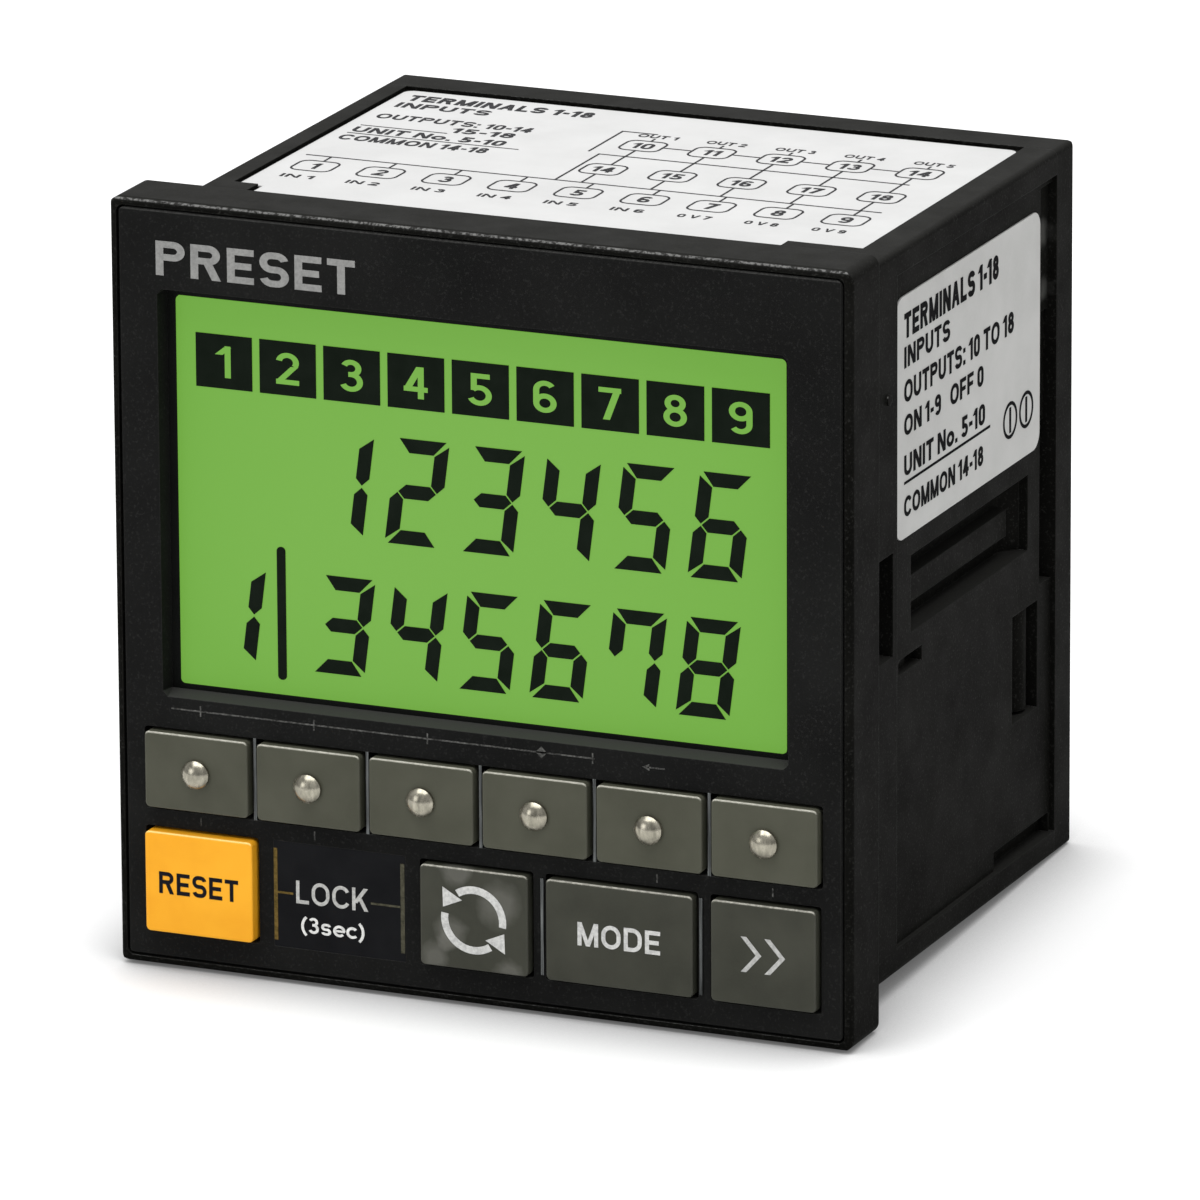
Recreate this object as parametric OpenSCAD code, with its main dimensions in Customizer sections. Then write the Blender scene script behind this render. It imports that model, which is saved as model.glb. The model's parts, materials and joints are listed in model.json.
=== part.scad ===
// Panel counter with a square front, a backlit display and two rows of keys.
// The origin is the centre of the bezel's rear face, which lies on the control panel.
// +X is to the right seen from the front, +Y runs to the rear and +Z is up.

/* [Front] */
// Width and height of the square front
front_w = 72; // [71.5:0.5:76]
// Thickness of the bezel in front of the panel
bezel_t = 6.4; // [6.2:0.1:8]
// Radius of the bezel's four corners
corner_r = 1; // [0.7:0.1:1.4]
// Rounding of the bezel's front edges
edge_r = 0.6; // [0.3:0.1:0.7]
// Width of the raised rim round the face plate
rim_w = 0.7; // [0.5:0.1:1]
// Width of the groove between the rim and the face plate
face_gap = 0.2; // [0.1:0.05:0.3]
// Thickness of the face plate
face_t = 1.9; // [1.6:0.1:2.2]
// Width of the ledge that carries the face plate
ledge_w = 1.7; // [1.3:0.1:1.8]
// Thickness of the shelf at the back of the bezel
shelf_t = 1.5; // [1:0.1:2]

/* [Display] */
// Distance from the front's left edge to the window
window_left = 4.65; // [4.3:0.05:6]
// Distance from the front's right edge to the window
window_right = 6.1; // [5:0.05:8]
// Distance from the front's top edge to the window
window_top = 8.2; // [8:0.1:9]
// Width of the face plate's bridge between the window and the upper keys
bridge_h = 3.25; // [2.8:0.05:4]
// Draft of the window's walls over the thickness of the face plate
window_draft = 0.15; // [0:0.05:0.3]
// Slope of the window's sill over the thickness of the face plate
sill_slope = 0.35; // [0.15:0.05:0.5]
// Black border that the mask leaves beside and above the picture
mask_border = 0.75; // [0.5:0.05:1.2]
// Black border under the picture
mask_foot = 0.45; // [0.3:0.05:1]
// Thickness of the mask
mask_t = 0.5; // [0.4:0.05:0.6]
// Overlap of the mask and the glass behind the face plate
mask_lap = 1.2; // [0.8:0.1:1.3]
// Thickness of the display's glass plates together
glass_t = 2.1; // [1.6:0.1:2.2]
// Thickness of the dark fields on the display
ink_t = 0.08; // [0.05:0.01:0.12]
// Gap between two lower figures
figure_gap = 1.95; // [1.6:0.05:2.2]
// Extra distance from one upper figure to the next
upper_spread = 0.25; // [0:0.05:0.4]
// How much taller the upper figures are than the lower ones
figure_extra = 0.7; // [0:0.1:1]
// Distance from the picture's left edge to the six lower figures
figure_left = 13.1; // [12.8:0.1:14]
// Distance from the picture's right edge to the foot of the last upper figure
upper_inset = 4.4; // [3:0.1:6]
// Distance from the picture's right edge to the foot of the last lower figure
lower_inset = 5.6; // [3:0.1:6]
// Distance from the picture's top edge to the upper figures
upper_drop = 11.1; // [10:0.1:12]
// Distance between the upper and the lower figures
figure_space = 3.7; // [3:0.1:4.5]
// Distance from the picture's bottom edge to the lower figures
lower_rise = 2.6; // [2.3:0.1:3]
// Width of the upright bar beside the first lower figure
cursor_w = 0.85; // [0.6:0.05:1.2]
// Width of a figure's bars
bar_w = 1.3; // [0.9:0.05:1.5]
// Gap between the bars of a figure
bar_gap = 0.11; // [0.05:0.01:0.2]
// Lean of the figures in degrees
digit_lean = 7.5; // [0:0.5:10]
// Distance from the picture's side edges to the number tiles
tile_margin = 1.8; // [1:0.1:3]
// Gap between two number tiles
tile_gap = 0.75; // [0.5:0.05:1]
// Height of a number tile
tile_h = 5; // [4:0.1:6]
// Distance from the picture's top edge to the number tiles
tile_drop = 3.3; // [2:0.1:4]

/* [Keys] */
// Distance from the front's side edge to the outer keys
key_margin = 3.05; // [3:0.05:4]
// Gap between two keys of the upper row
key_gap = 0.9; // [0.9:0.05:1.4]
// Height of the upper keys
key_h = 7.2; // [6:0.1:7.3]
// Height of the lower keys
low_key_h = 9.5; // [8:0.1:9.6]
// Distance from the front's bottom edge to the lower keys
low_margin = 3.5; // [3.4:0.1:4]
// Distance between the two rows of keys
row_gap = 2.2; // [2.1:0.1:3]
// Width of the reset key
reset_w = 10.7; // [9:0.1:11]
// Width of the cycle key
cycle_w = 10.6; // [9:0.1:11]
// Width of the mode key
mode_w = 14.3; // [12:0.1:14.5]
// Width of the shift key
shift_w = 10.15; // [9:0.05:11]
// Distance between two keys of the lower row
low_key_gap = 1.75; // [1.7:0.05:2]
// Height of a key above the face plate
key_proud = 0.7; // [0.6:0.05:1.2]
// Height of the reset key above the face plate
reset_proud = 0.95; // [0.6:0.05:1.2]
// Bevel of a key's front edges
key_bevel = 0.35; // [0.15:0.05:0.5]
// Clearance round a key
key_clear = 0.28; // [0.25:0.01:0.3]
// Travel of a key
key_travel = 0.5; // [0.3:0.05:0.55]
// Wall of a key cap
cap_wall = 1; // [0.8:0.1:1.2]
// Width of the lips that hold a key behind the face plate
lip_w = 0.8; // [0.5:0.05:0.85]
// Thickness of the lips
lip_t = 0.8; // [0.6:0.1:1]
// Radius of the peg that works the switch
peg_r = 1.3; // [1:0.1:1.4]
// Radius of the round nub on an upper key
nub_r = 1.35; // [1:0.05:1.6]
// Height of the nub above its key
nub_h = 1; // [0.7:0.1:1.2]
// Radius of the nub's shank
shank_r = 0.7; // [0.5:0.05:0.8]
// Thickness of the strips between the keys
divider_t = 0.3; // [0.2:0.02:0.34]

/* [Lock field] */
// Distance from the lock field to the reset key and to the cycle key
lock_gap = 1.75; // [1.5:0.05:2.5]
// Height of the lock field
lock_h = 10; // [8:0.1:10.2]
// Thickness of the lock field's plate
lock_t = 0.3; // [0.2:0.05:0.5]

/* [Case] */
// Overhang of the bezel past the case on each side
overhang = 2.25; // [2:0.05:2.5]
// Depth of the part behind the panel face
body_depth = 53.3; // [52:0.1:58]
// Wall of the case
wall = 2.2; // [2.1:0.05:2.4]
// Radius of the case's long edges
case_r = 0.6; // [0.3:0.1:1]
// Length of the raised collar behind the bezel, above and below
collar_l = 4; // [3.8:0.1:5]
// Length of the raised collar behind the bezel, on the two sides
side_collar_l = 9.9; // [9.4:0.1:10]
// Step from the collar and borders down to the side panels
panel_step = 0.5; // [0.3:0.05:0.6]
// Step from the borders down to the top panel
top_step = 0.4; // [0.25:0.05:0.5]
// Depth of the rebate in the bezel's rear face that the case's front edge sits in
seat_depth = 0.3; // [0.2:0.05:0.5]
// Width of the border above and below the side panels
panel_border = 2.4; // [2:0.1:3]
// Length of the rear cover's rim
rim_l = 4.3; // [4.3:0.1:5]
// Length of the bezel's spigot inside the case
spigot_l = 3; // [2.5:0.1:3]
// Wall of the spigot and of the rear cover's skirt
skirt_wall = 1; // [0.9:0.05:1.1]
// Clearance between the case and what slides into it
fit_gap = 0.15; // [0.1:0.01:0.2]

/* [Side recesses] */
// Distance from the panel face to the adapter recess
rail_y = 14.4; // [14:0.1:15]
// Distance from the adapter recess to the rear cover's rim
rail_end = 5.8; // [5.7:0.1:7]
// Height of the adapter recess
rail_h = 6.8; // [6:0.1:7.2]
// Height of the middle of the adapter recess above the part's centre
rail_z = 0.55; // [0:0.05:1]
// Depth of the adapter recess
rail_depth = 2.4; // [2:0.1:2.6]
// Wall behind the adapter recess
rail_wall = 1.6; // [1.2:0.1:1.8]
// Height of the ridge inside the adapter recess
ridge_h = 2.5; // [2:0.1:3]
// Length of the snap window
snap_l = 6.3; // [6:0.1:6.6]
// Height of the snap window
snap_h = 10.3; // [9:0.1:11]
// Distance from the rear cover's rim to the snap window
snap_y = 3.3; // [3.3:0.1:3.8]
// Height of the middle of the snap window below the part's centre
snap_drop = 13.4; // [13:0.1:14]
// Clearance round the snap hook
snap_gap = 0.3; // [0.2:0.05:0.4]
// Width of the channel in front of the rim
channel_w = 2.9; // [2.6:0.1:2.9]
// Length of the latch notch behind the bezel
latch_l = 8.9; // [8.4:0.1:9]
// Open length of the latch notch past the bezel's tongue
latch_open = 2.9; // [2:0.1:3.5]
// Height of the latch notch
latch_h = 9.7; // [8:0.1:10]

/* [Terminals] */
// Distance from one terminal to the next
terminal_pitch = 6.5; // [6.4:0.05:6.5]
// Height of the trough that holds a terminal block
trough_h = 13; // [12.6:0.1:13.4]
// Thickness of a terminal block's base
block_t = 4.2; // [4:0.1:4.4]
// Thickness of the barriers between the terminals
barrier_t = 1.1; // [0.9:0.05:1.2]
// Height of the barriers above the base
barrier_h = 3.5; // [3.3:0.1:3.5]
// Thickness of a terminal's contact plate
contact_t = 0.6; // [0.5:0.05:0.7]
// Thickness of a terminal's clamp plate
clamp_t = 0.7; // [0.6:0.05:0.8]
// Radius of a terminal screw's thread
screw_r = 1.5; // [1.25:0.05:1.5]
// Radius of a terminal screw's head
head_r = 2.4; // [2:0.05:2.5]
// Height of a terminal screw's head
head_h = 1.6; // [1.4:0.1:1.7]

/* [Inside] */
// Thickness of the circuit boards
board_t = 1.6; // [1.2:0.1:1.7]
// Distance of the display board behind the panel face
board_y = 1.6; // [1.5:0.05:1.7]
// Distance of the two side boards from the case's side walls
board_gap = 8.75; // [8:0.05:10]
// Side length of a key switch
switch_w = 4.6; // [4.4:0.1:4.6]
// Thickness of a key switch
switch_t = 1.4; // [1.2:0.1:1.4]
// Radius of the well in a key switch
well_r = 1.7; // [1.7:0.05:1.9]
// Height of the snap dome in a key switch
dome_h = 0.5; // [0.4:0.05:0.6]
// Radius of the display board's fixing screws
fix_r = 0.8; // [0.7:0.05:0.9]
// Length of a header's shell along its board
header_l = 12; // [8:0.5:14]
// Side length of the processor
chip_w = 12; // [8:0.5:14]
// Length of an output relay
relay_l = 18; // [14:0.5:20]
// Width of an output relay
relay_w = 10; // [8:0.5:11]
// Height of an output relay above its board
relay_h = 12; // [10:0.5:13]
// Length of the transformer's core along its board
core_l = 20; // [16:0.5:24]
// Width of the transformer's core
core_w = 28; // [18:0.5:30]
// Height of the transformer's core
core_h = 20; // [12:0.5:21]
// Thickness of the core's limbs
limb_t = 3; // [2.5:0.1:3.5]
// Distance from the core to the terminal board
core_gap = 1.5; // [1:0.1:3]
// Radius of a capacitor
cap_r = 4.5; // [3:0.1:4.6]
// Height of a capacitor above its board
cap_h = 16; // [10:0.5:16]
// Thickness of the labels
label_t = 0.15; // [0.1:0.05:0.2]
// Distance from the side label to the adapter recess
label_gap = 2.5; // [1.5:0.1:3]
// Distance from the side label to the panel's upper edge
label_drop = 2.4; // [1.5:0.1:3]

/* [Hidden] */
$fn = 48;
eps = 0.05;
black = [0.12, 0.12, 0.115];
key_grey = [0.32, 0.32, 0.3];
board_green = [0.1, 0.35, 0.2];
metal = [0.75, 0.75, 0.72];
front_half = front_w / 2;
plate_half = front_half - rim_w - face_gap;
cavity_half = front_half - rim_w - ledge_w;
face_y = -bezel_t;
face_back_y = face_y + face_t;
case_w = front_w - 2 * overhang;
case_half = case_w / 2;
seat_half = case_half + 0.05;
inner_half = case_half - wall;
panel_x = case_half - panel_step;
rim_y = body_depth - rim_l;
spigot_half = inner_half - fit_gap;
throat_half = spigot_half - skirt_wall;
window_x0 = -front_half + window_left;
window_x1 = front_half - window_right;
low_key_z = -front_half + low_margin + low_key_h / 2;
low_row_top = -front_half + low_margin + low_key_h;
key_z0 = low_row_top + row_gap;
key_z = key_z0 + key_h / 2;
window_z1 = front_half - window_top;
window_z0 = key_z0 + key_h + bridge_h;
mask_back_y = face_back_y + mask_t;
glass_back_y = mask_back_y + glass_t;
glass_clear = 0.05;
view_x0 = window_x0 + window_draft + mask_border;
view_x1 = window_x1 - window_draft - mask_border;
view_z0 = window_z0 + sill_slope + mask_foot;
view_z1 = window_z1 - window_draft - mask_border;
view_w = view_x1 - view_x0;
view_h = view_z1 - view_z0;
view_x = (view_x0 + view_x1) / 2;
view_z = (view_z0 + view_z1) / 2;
view_r = 0.5;
figures_h = view_h - upper_drop - figure_space - lower_rise;
upper_digit_h = (figures_h + figure_extra) / 2;
lower_digit_h = (figures_h - figure_extra) / 2;
lower_pitch = (view_w - figure_left - lower_inset + figure_gap) / 6;
upper_pitch = lower_pitch + upper_spread;
digit_w = lower_pitch - figure_gap;
tile_n = 9;
tile_pitch = (view_w - 2 * tile_margin + tile_gap) / tile_n;
tile_w = tile_pitch - tile_gap;
picture_y = face_back_y + glass_clear;
glass_x0 = window_x0 + window_draft - mask_lap;
glass_x1 = window_x1 - window_draft + mask_lap;
glass_z0 = window_z0 + sill_slope - mask_lap;
glass_z1 = window_z1 - window_draft + mask_lap;
guide_clear = 0.4;
guide_x0 = max(glass_x0, -throat_half + guide_clear);
guide_x1 = min(glass_x1, throat_half - guide_clear) - 1;
led_size = [3.5, 2];
led_z1 = glass_z1 - 0.2;
guide_z1 = led_z1 - led_size[1] - 0.2;
strip_h = 1.6;
guide_z0 = glass_z0 + strip_h + 0.6;
key_w =(front_w - 2 * key_margin - 5 * key_gap) / 6;
key_pitch = key_w + key_gap;
key_back_y = face_back_y + 0.1 + lip_t;
reset_x = -front_half + key_margin + reset_w / 2;
shift_x = front_half - key_margin - shift_w / 2 - 0.15;
mode_x = shift_x - shift_w / 2 - low_key_gap - mode_w / 2;
cycle_x = mode_x - mode_w / 2 - low_key_gap - cycle_w / 2;
lock_x0 = reset_x + reset_w / 2 + lock_gap;
lock_x1 = cycle_x - cycle_w / 2 - lock_gap;
lock_w = lock_x1 - lock_x0;
lock_x = (lock_x0 + lock_x1) / 2;
low_keys = [[reset_x, reset_w, reset_proud], [cycle_x, cycle_w, key_proud], [mode_x, mode_w, key_proud],
    [shift_x, shift_w, key_proud]];
dome_y = board_y - dome_h;
peg_end_y = dome_y - key_travel - 0.1;
board_half = throat_half - 0.3;
boss_r = 1.8;
boss_x = throat_half - boss_r;
boss_zs = [boss_x, (key_z0 + low_row_top) / 2 - 0.1];
switch_places = concat([for (i = [0:5]) [key_x(i), key_z]], [for (k = low_keys) [k[0], low_key_z]]);
notch_clear = 0.3;
latch_z = 1.25;
rail_floor_x = panel_x - rail_depth;
rail_l = rim_y - rail_y - rail_end;
rail_z0 = rail_z - rail_h / 2;
rail_z1 = rail_z + rail_h / 2;
snap_y1 = rim_y - snap_y;
snap_y0 = snap_y1 - snap_l;
skirt_half = inner_half - fit_gap;
skirt_y = rim_y - 5;
trough_half = skirt_half - skirt_wall - 0.2;
trough_z1 = trough_half;
trough_z0 = trough_half - trough_h;
block_clear = 0.2;
block_half = trough_half - block_clear;
block_z0 = trough_z0 + block_clear;
block_z1 = trough_z1 - block_clear;
barrier_y = rim_y - 0.1;
block_top_y = barrier_y - barrier_h;
block_y = block_top_y - block_t;
terminal_n = floor((2 * block_half - barrier_t) / terminal_pitch);
terminal_w = terminal_pitch - barrier_t - 0.4;
terminal_z =(block_z0 + block_z1) / 2;
contact_y = block_top_y + contact_t;
clamp_y = contact_y + clamp_t;
hole_clear = 0.1;
pin_r = 0.5;
pin_z = block_z0 + 1.6;
rear_board_y = block_y - board_t;
display_back_y = board_y + board_t;
guide_rib = 1.2;
side_board_half = inner_half - 0.25;
board_x = inner_half - board_gap - board_t;
middle_y = (display_back_y + rear_board_y) / 2;
label_x0 = -case_half + panel_border;
label_x1 = case_half - panel_border - 0.8;
stop_w = 2.4;
stop_l = 6.4;
wide_stop_w = 7.2;
wide_stop_l = 5.6;
rail_end_l = 2.7;
channel_l1 = 12;
channel_l2 = 22.6;
groove_l = 13.8;
groove_w = 1.9;
groove_z = 2.3;
bump_y = 2.2;
bump_z = 13.2;
rib_y = 6;
header_t = 2.5;
header_w = 5;
header_gap = 3;
chip_t = 1.5;
relay_gap = 3;
core_foot = 1;
core_y = rear_board_y - core_gap - core_l / 2;

function key_x(i) = -front_half + key_margin + key_w / 2 + i * key_pitch;
function terminal_x(i) = (i - (terminal_n - 1) / 2) * terminal_pitch;

// Extrudes a drawing in X and Z along Y
module along_y(y0, y1) {
    translate([0, y1, 0]) rotate([90, 0, 0]) linear_extrude(y1 - y0) children();
}

// Extrudes a drawing in Y and Z along X
module along_x(x0, x1) {
    translate([x0, 0, 0]) rotate([90, 0, 90]) linear_extrude(x1 - x0) children();
}

// Extrudes a drawing in X and Y along Z
module along_z(z0, z1) {
    translate([0, 0, z0]) linear_extrude(z1 - z0) children();
}

module block(x, y, z) {
    translate([x[0], y[0], z[0]]) cube([x[1] - x[0], y[1] - y[0], z[1] - z[0]]);
}

module rounded_rect(w, h, r) {
    square([w - 2 * r, h], center = true);
    square([w, h - 2 * r], center = true);
    for (sx = [-1, 1], sz = [-1, 1]) translate([sx * (w / 2 - r), sz * (h / 2 - r)]) circle(r);
}

// Cylinder along Y
module rod_y(r, y0, y1) {
    translate([0, y0, 0]) rotate([-90, 0, 0]) cylinder(r = r, h = y1 - y0);
}

// Block with its front face at y = 0, and a bevel round that face
module bevelled_block(w, h, d, bevel) {
    intersection() {
        along_z(-h / 2, h / 2) polygon(bevel_outline(w, d, bevel));
        along_x(-w / 2, w / 2) polygon([for (p = bevel_outline(h, d, bevel)) [p[1], p[0]]]);
    }
}

function bevel_outline(w, d, bevel) = [[-w / 2 + bevel, 0], [w / 2 - bevel, 0], [w / 2, bevel], [w / 2, d],
    [-w / 2, d], [-w / 2, bevel]];

// Section through the bezel's depth, drawn in depth and width, with round front corners
module bezel_section() {
    translate([face_y + edge_r, -front_half]) square([bezel_t - edge_r, front_w]);
    translate([face_y, -front_half + edge_r]) square([edge_r, front_w - 2 * edge_r]);
    for (s = [-1, 1]) translate([face_y + edge_r, s * (front_half - edge_r)]) circle(edge_r);
}

module bezel_blank() {
    intersection() {
        along_y(face_y, 0) rounded_rect(front_w, front_w, corner_r);
        along_x(-front_half, front_half) bezel_section();
        along_z(-front_half, front_half) rotate(90) bezel_section();
    }
}

module front_bezel() {
    color(black) difference() {
        union() {
            difference() {
                union() {
                    difference() {
                        bezel_blank();
                        along_y(-seat_depth, 1) rounded_rect(2 * seat_half, 2 * seat_half, case_r);
                    }
                    along_y(-shelf_t, spigot_l) rounded_rect(2 * spigot_half, 2 * spigot_half, case_r);
                }
                along_y(face_y - 1, face_back_y)
                    rounded_rect(2 * (front_half - rim_w), 2 * (front_half - rim_w), corner_r - 0.3);
                along_y(face_back_y - eps, -shelf_t) square(2 * cavity_half, center = true);
                along_y(-shelf_t - eps, spigot_l + 1) square(2 * throat_half, center = true);
            }
            for (s = [-1, 1]) latch_tongue(s);
            for (s = [-1, 1], z = boss_zs) board_boss(s, z);
        }
        for (s = [-1, 1], z = boss_zs) translate([s * boss_x, 0, z])
            rod_y(fix_r + 0.05, 0.2 - shelf_t, board_y + 1);
    }
}

// Tongue of the bezel that sits in the case's latch notch
module latch_tongue(s) {
    tongue_x = case_half - 1.1;
    scale_x = s > 0 ? [spigot_half - skirt_wall, tongue_x] : [-tongue_x, -spigot_half + skirt_wall];
    block(scale_x, [-seat_depth - eps, latch_l - latch_open], [latch_z - latch_h / 2 + notch_clear,
        latch_z + latch_h / 2 - notch_clear]);
}

// Boss that carries a screw of the display board
module board_boss(s, z) {
    translate([s * boss_x, 0, z]) rod_y(boss_r, -shelf_t, board_y);
    root = s > 0 ? [boss_x, spigot_half - 0.3] : [-spigot_half + 0.3, -boss_x];
    block(root, [-shelf_t, board_y], [z - boss_r / 2, z + boss_r / 2]);
}

module window_cut() {
    d = window_draft;
    chamfer = 0.5;
    y0 = face_y - eps;
    y1 = face_back_y + eps;
    intersection() {
        along_y(y0, y1) polygon([[window_x0 + chamfer, window_z0], [window_x1 - chamfer, window_z0],
            [window_x1, window_z0 + chamfer], [window_x1, window_z1 - chamfer],
            [window_x1 - chamfer, window_z1], [window_x0 + chamfer, window_z1],
            [window_x0, window_z1 - chamfer], [window_x0, window_z0 + chamfer]]);
        along_z(window_z0 - 1, window_z1 + 1) polygon([[window_x0, y0], [window_x1, y0], [window_x1 - d, y1],
            [window_x0 + d, y1]]);
        along_x(window_x0 - 1, window_x1 + 1) polygon([[y0, window_z0], [y1, window_z0 + sill_slope],
            [y1, window_z1 - d], [y0, window_z1]]);
    }
}

// Straight cut through the face plate for a key of the given place and size
module key_cut(x, z, w, h) {
    translate([x, 0, z]) along_y(face_y - 1, face_back_y + 1)
        rounded_rect(w + 2 * key_clear, h + 2 * key_clear, 0.3);
}

module face_plate() {
    slot_w = 6 * key_w + 5 * key_gap;
    color(black) difference() {
        intersection() {
            along_y(face_y, face_back_y) rounded_rect(2 * plate_half, 2 * plate_half, corner_r - 0.4);
            translate([0, face_y, 0]) bevelled_block(2 * plate_half, 2 * plate_half, face_t, 0.15);
        }
        window_cut();
        key_cut(0, key_z, slot_w, key_h);
        for (k = low_keys) key_cut(k[0], low_key_z, k[1], low_key_h);
        translate([lock_x, 0, low_key_z]) along_y(face_y - 1, face_y + lock_t)
            square([lock_w, lock_h], center = true);
        low_dividers(face_y - 1);
    }
}

// Strips beside the mode key, let into the face plate
module low_dividers(front_y) {
    for (s = [-1, 1]) translate([mode_x + s * (mode_w / 2 + key_clear + 0.15 + divider_t / 2), 0, low_key_z])
        along_y(front_y, face_y + 0.6) square([divider_t, low_key_h - 0.4], center = true);
}

module key_dividers() {
    color(metal) {
        for (i = [0:4]) translate([key_x(i) + key_pitch / 2, 0, key_z]) along_y(face_y, face_back_y)
            square([divider_t, key_h + 2 * key_clear], center = true);
        low_dividers(face_y - 0.15);
    }
}

module lock_plate() {
    color([0.09, 0.09, 0.1]) translate([lock_x, 0, low_key_z]) along_y(face_y, face_y + lock_t)
        square([lock_w, lock_h], center = true);
}

module glass_outline() {
    translate([glass_x0, glass_z0]) square([glass_x1 - glass_x0, glass_z1 - glass_z0]);
}

module lcd_mask() {
    color("black") along_y(face_back_y, mask_back_y) difference() {
        glass_outline();
        translate([view_x, view_z]) rounded_rect(view_w, view_h, view_r);
    }
}

module lcd_glass() {
    color([0.47, 0.72, 0.3]) {
        along_y(mask_back_y, glass_back_y) glass_outline();
        translate([view_x, 0, view_z]) along_y(picture_y, mask_back_y + eps)
            rounded_rect(view_w - 2 * glass_clear, view_h - 2 * glass_clear, view_r - glass_clear);
    }
}

// Outline of one bar of a figure, named by its letter from a, at the top, to g, in the middle
function bar_points(bar, w, h) = let (t = bar_w, g = bar_gap, m = h / 2)
    bar == "a" ? [[g + 0.2, h], [w - g - 0.2, h], [w - t - g, h - t], [t + g, h - t]] :
    bar == "b" ? [[w, h - g - 0.3], [w, m + t / 2 + g], [w - t / 2, m + g], [w - t, m + t / 2 + g],
        [w - t, h - t - g]] :
    bar == "c" ? [[w, m - t / 2 - g], [w, g + 0.3], [w - t, t + g], [w - t, m - t / 2 - g],
        [w - t / 2, m - g]] :
    bar == "d" ? [[g + 0.2, 0], [t + g, t], [w - t - g, t], [w - g - 0.2, 0]] :
    bar == "e" ? [[0, m - t / 2 - g], [0, g + 0.3], [t, t + g], [t, m - t / 2 - g], [t / 2, m - g]] :
    bar == "f" ? [[0, h - g - 0.3], [0, m + t / 2 + g], [t / 2, m + g], [t, m + t / 2 + g], [t, h - t - g]] :
    [[t / 2 + g, m], [t + g, m + t / 2], [w - t - g, m + t / 2], [w - t / 2 - g, m], [w - t - g, m - t / 2],
        [t + g, m - t / 2]];

lit_bars = ["abcdef", "bc", "abdeg", "abcdg", "bcfg", "acdfg", "acdefg", "abcf", "abcdefg", "abcdfg"];

function lean(p) = [p[0] + p[1] * tan(digit_lean), p[1]];

// A row of leaning figures, the last of which ends at x1 on its baseline
module figure_row(figures, pitch, x1, z0, h) {
    for (i = [0:len(figures) - 1])
        translate([x1 - digit_w - (len(figures) - 1 - i) * pitch, z0])
            for (bar = ["a", "b", "c", "d", "e", "f", "g"])
                if (len(search(bar, lit_bars[figures[i]])) > 0)
                    polygon([for (p = bar_points(bar, digit_w, h)) lean(p)]);
}

module lcd_segments() {
    upper_z0 = view_z1 - upper_drop - upper_digit_h;
    lower_z0 = view_z0 + lower_rise;
    first_x1 = view_x0 + figure_left - 2.5 * cursor_w - 3.5;
    cursor_x = first_x1 + 2.7;
    cursor_over = 3.3;
    color([0.1, 0.14, 0.12]) along_y(picture_y - ink_t, picture_y) {
        figure_row([1, 2, 3, 4, 5, 6], upper_pitch, view_x1 - upper_inset, upper_z0, upper_digit_h);
        figure_row([1], lower_pitch, first_x1, lower_z0, lower_digit_h);
        figure_row([3, 4, 5, 6, 7, 8], lower_pitch, view_x1 - lower_inset, lower_z0, lower_digit_h);
        translate([cursor_x, lower_z0 + lower_digit_h / 2 + 0.5])
            rounded_rect(cursor_w, lower_digit_h + cursor_over, 0.47 * cursor_w);
    }
}

module lcd_number_tiles() {
    color([0.1, 0.14, 0.12]) along_y(picture_y - ink_t, picture_y)
        for (i = [0:tile_n - 1])
            translate([view_x + 0.2 + (i - (tile_n - 1) / 2) * tile_pitch, view_z1 - tile_drop - tile_h / 2])
            square([tile_w, tile_h], center = true);
}

module light_guide() {
    color([0.9, 0.95, 0.9]) block([guide_x0, guide_x1], [glass_back_y, board_y], [guide_z0, guide_z1]);
}

module backlight_leds() {
    color("white") for (i = [-1:1])
        translate([view_x + i * view_w / 3, 0, 0])
            block([-led_size[0] / 2, led_size[0] / 2], [glass_back_y + 0.5, board_y],
                [led_z1 - led_size[1], led_z1]);
}

module contact_strip() {
    color([0.35, 0.3, 0.35])
        block([guide_x0 + 2, guide_x1 - 2], [glass_back_y, board_y],
            [glass_z0 + 0.2, glass_z0 + 0.2 + strip_h]);
}

module display_board() {
    color(board_green) difference() {
        along_y(board_y, display_back_y) square(2 * board_half, center = true);
        for (s = [-1, 1], z = boss_zs) translate([s * boss_x, 0, z])
            rod_y(fix_r + 0.2, board_y - 1, display_back_y + 1);
    }
}

module board_screws() {
    color(metal) for (s = [-1, 1], z = boss_zs) translate([s * boss_x, 0, z]) difference() {
        union() {
            rod_y(fix_r, 0.6 - shelf_t, display_back_y + eps);
            rod_y(2 * fix_r, display_back_y, display_back_y + 1);
        }
        cross_slot(display_back_y + 0.6, 0.35, 2 * fix_r);
    }
}

// Cross recess of a screw head, open to the rear
module cross_slot(y0, w, l) {
    for (turn = [0, 90]) rotate([0, turn, 0]) block([-l / 2, l / 2], [y0, y0 + 2], [-w / 2, w / 2]);
}

module switch_frames() {
    color([0.2, 0.2, 0.22]) for (p = switch_places) translate([p[0], 0, p[1]]) difference() {
        along_y(board_y - switch_t, board_y) square(switch_w, center = true);
        rod_y(well_r, board_y - switch_t - 1, board_y + 1);
    }
}

module switch_domes() {
    dome_r = well_r - 0.1;
    ball_r = (dome_r * dome_r + dome_h * dome_h) / (2 * dome_h);
    color(metal) for (p = switch_places) translate([p[0], dome_y + ball_r, p[1]]) intersection() {
        sphere(ball_r, $fn = 180);
        rod_y(dome_r + 1, -ball_r - 1, dome_h - ball_r);
    }
}

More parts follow.
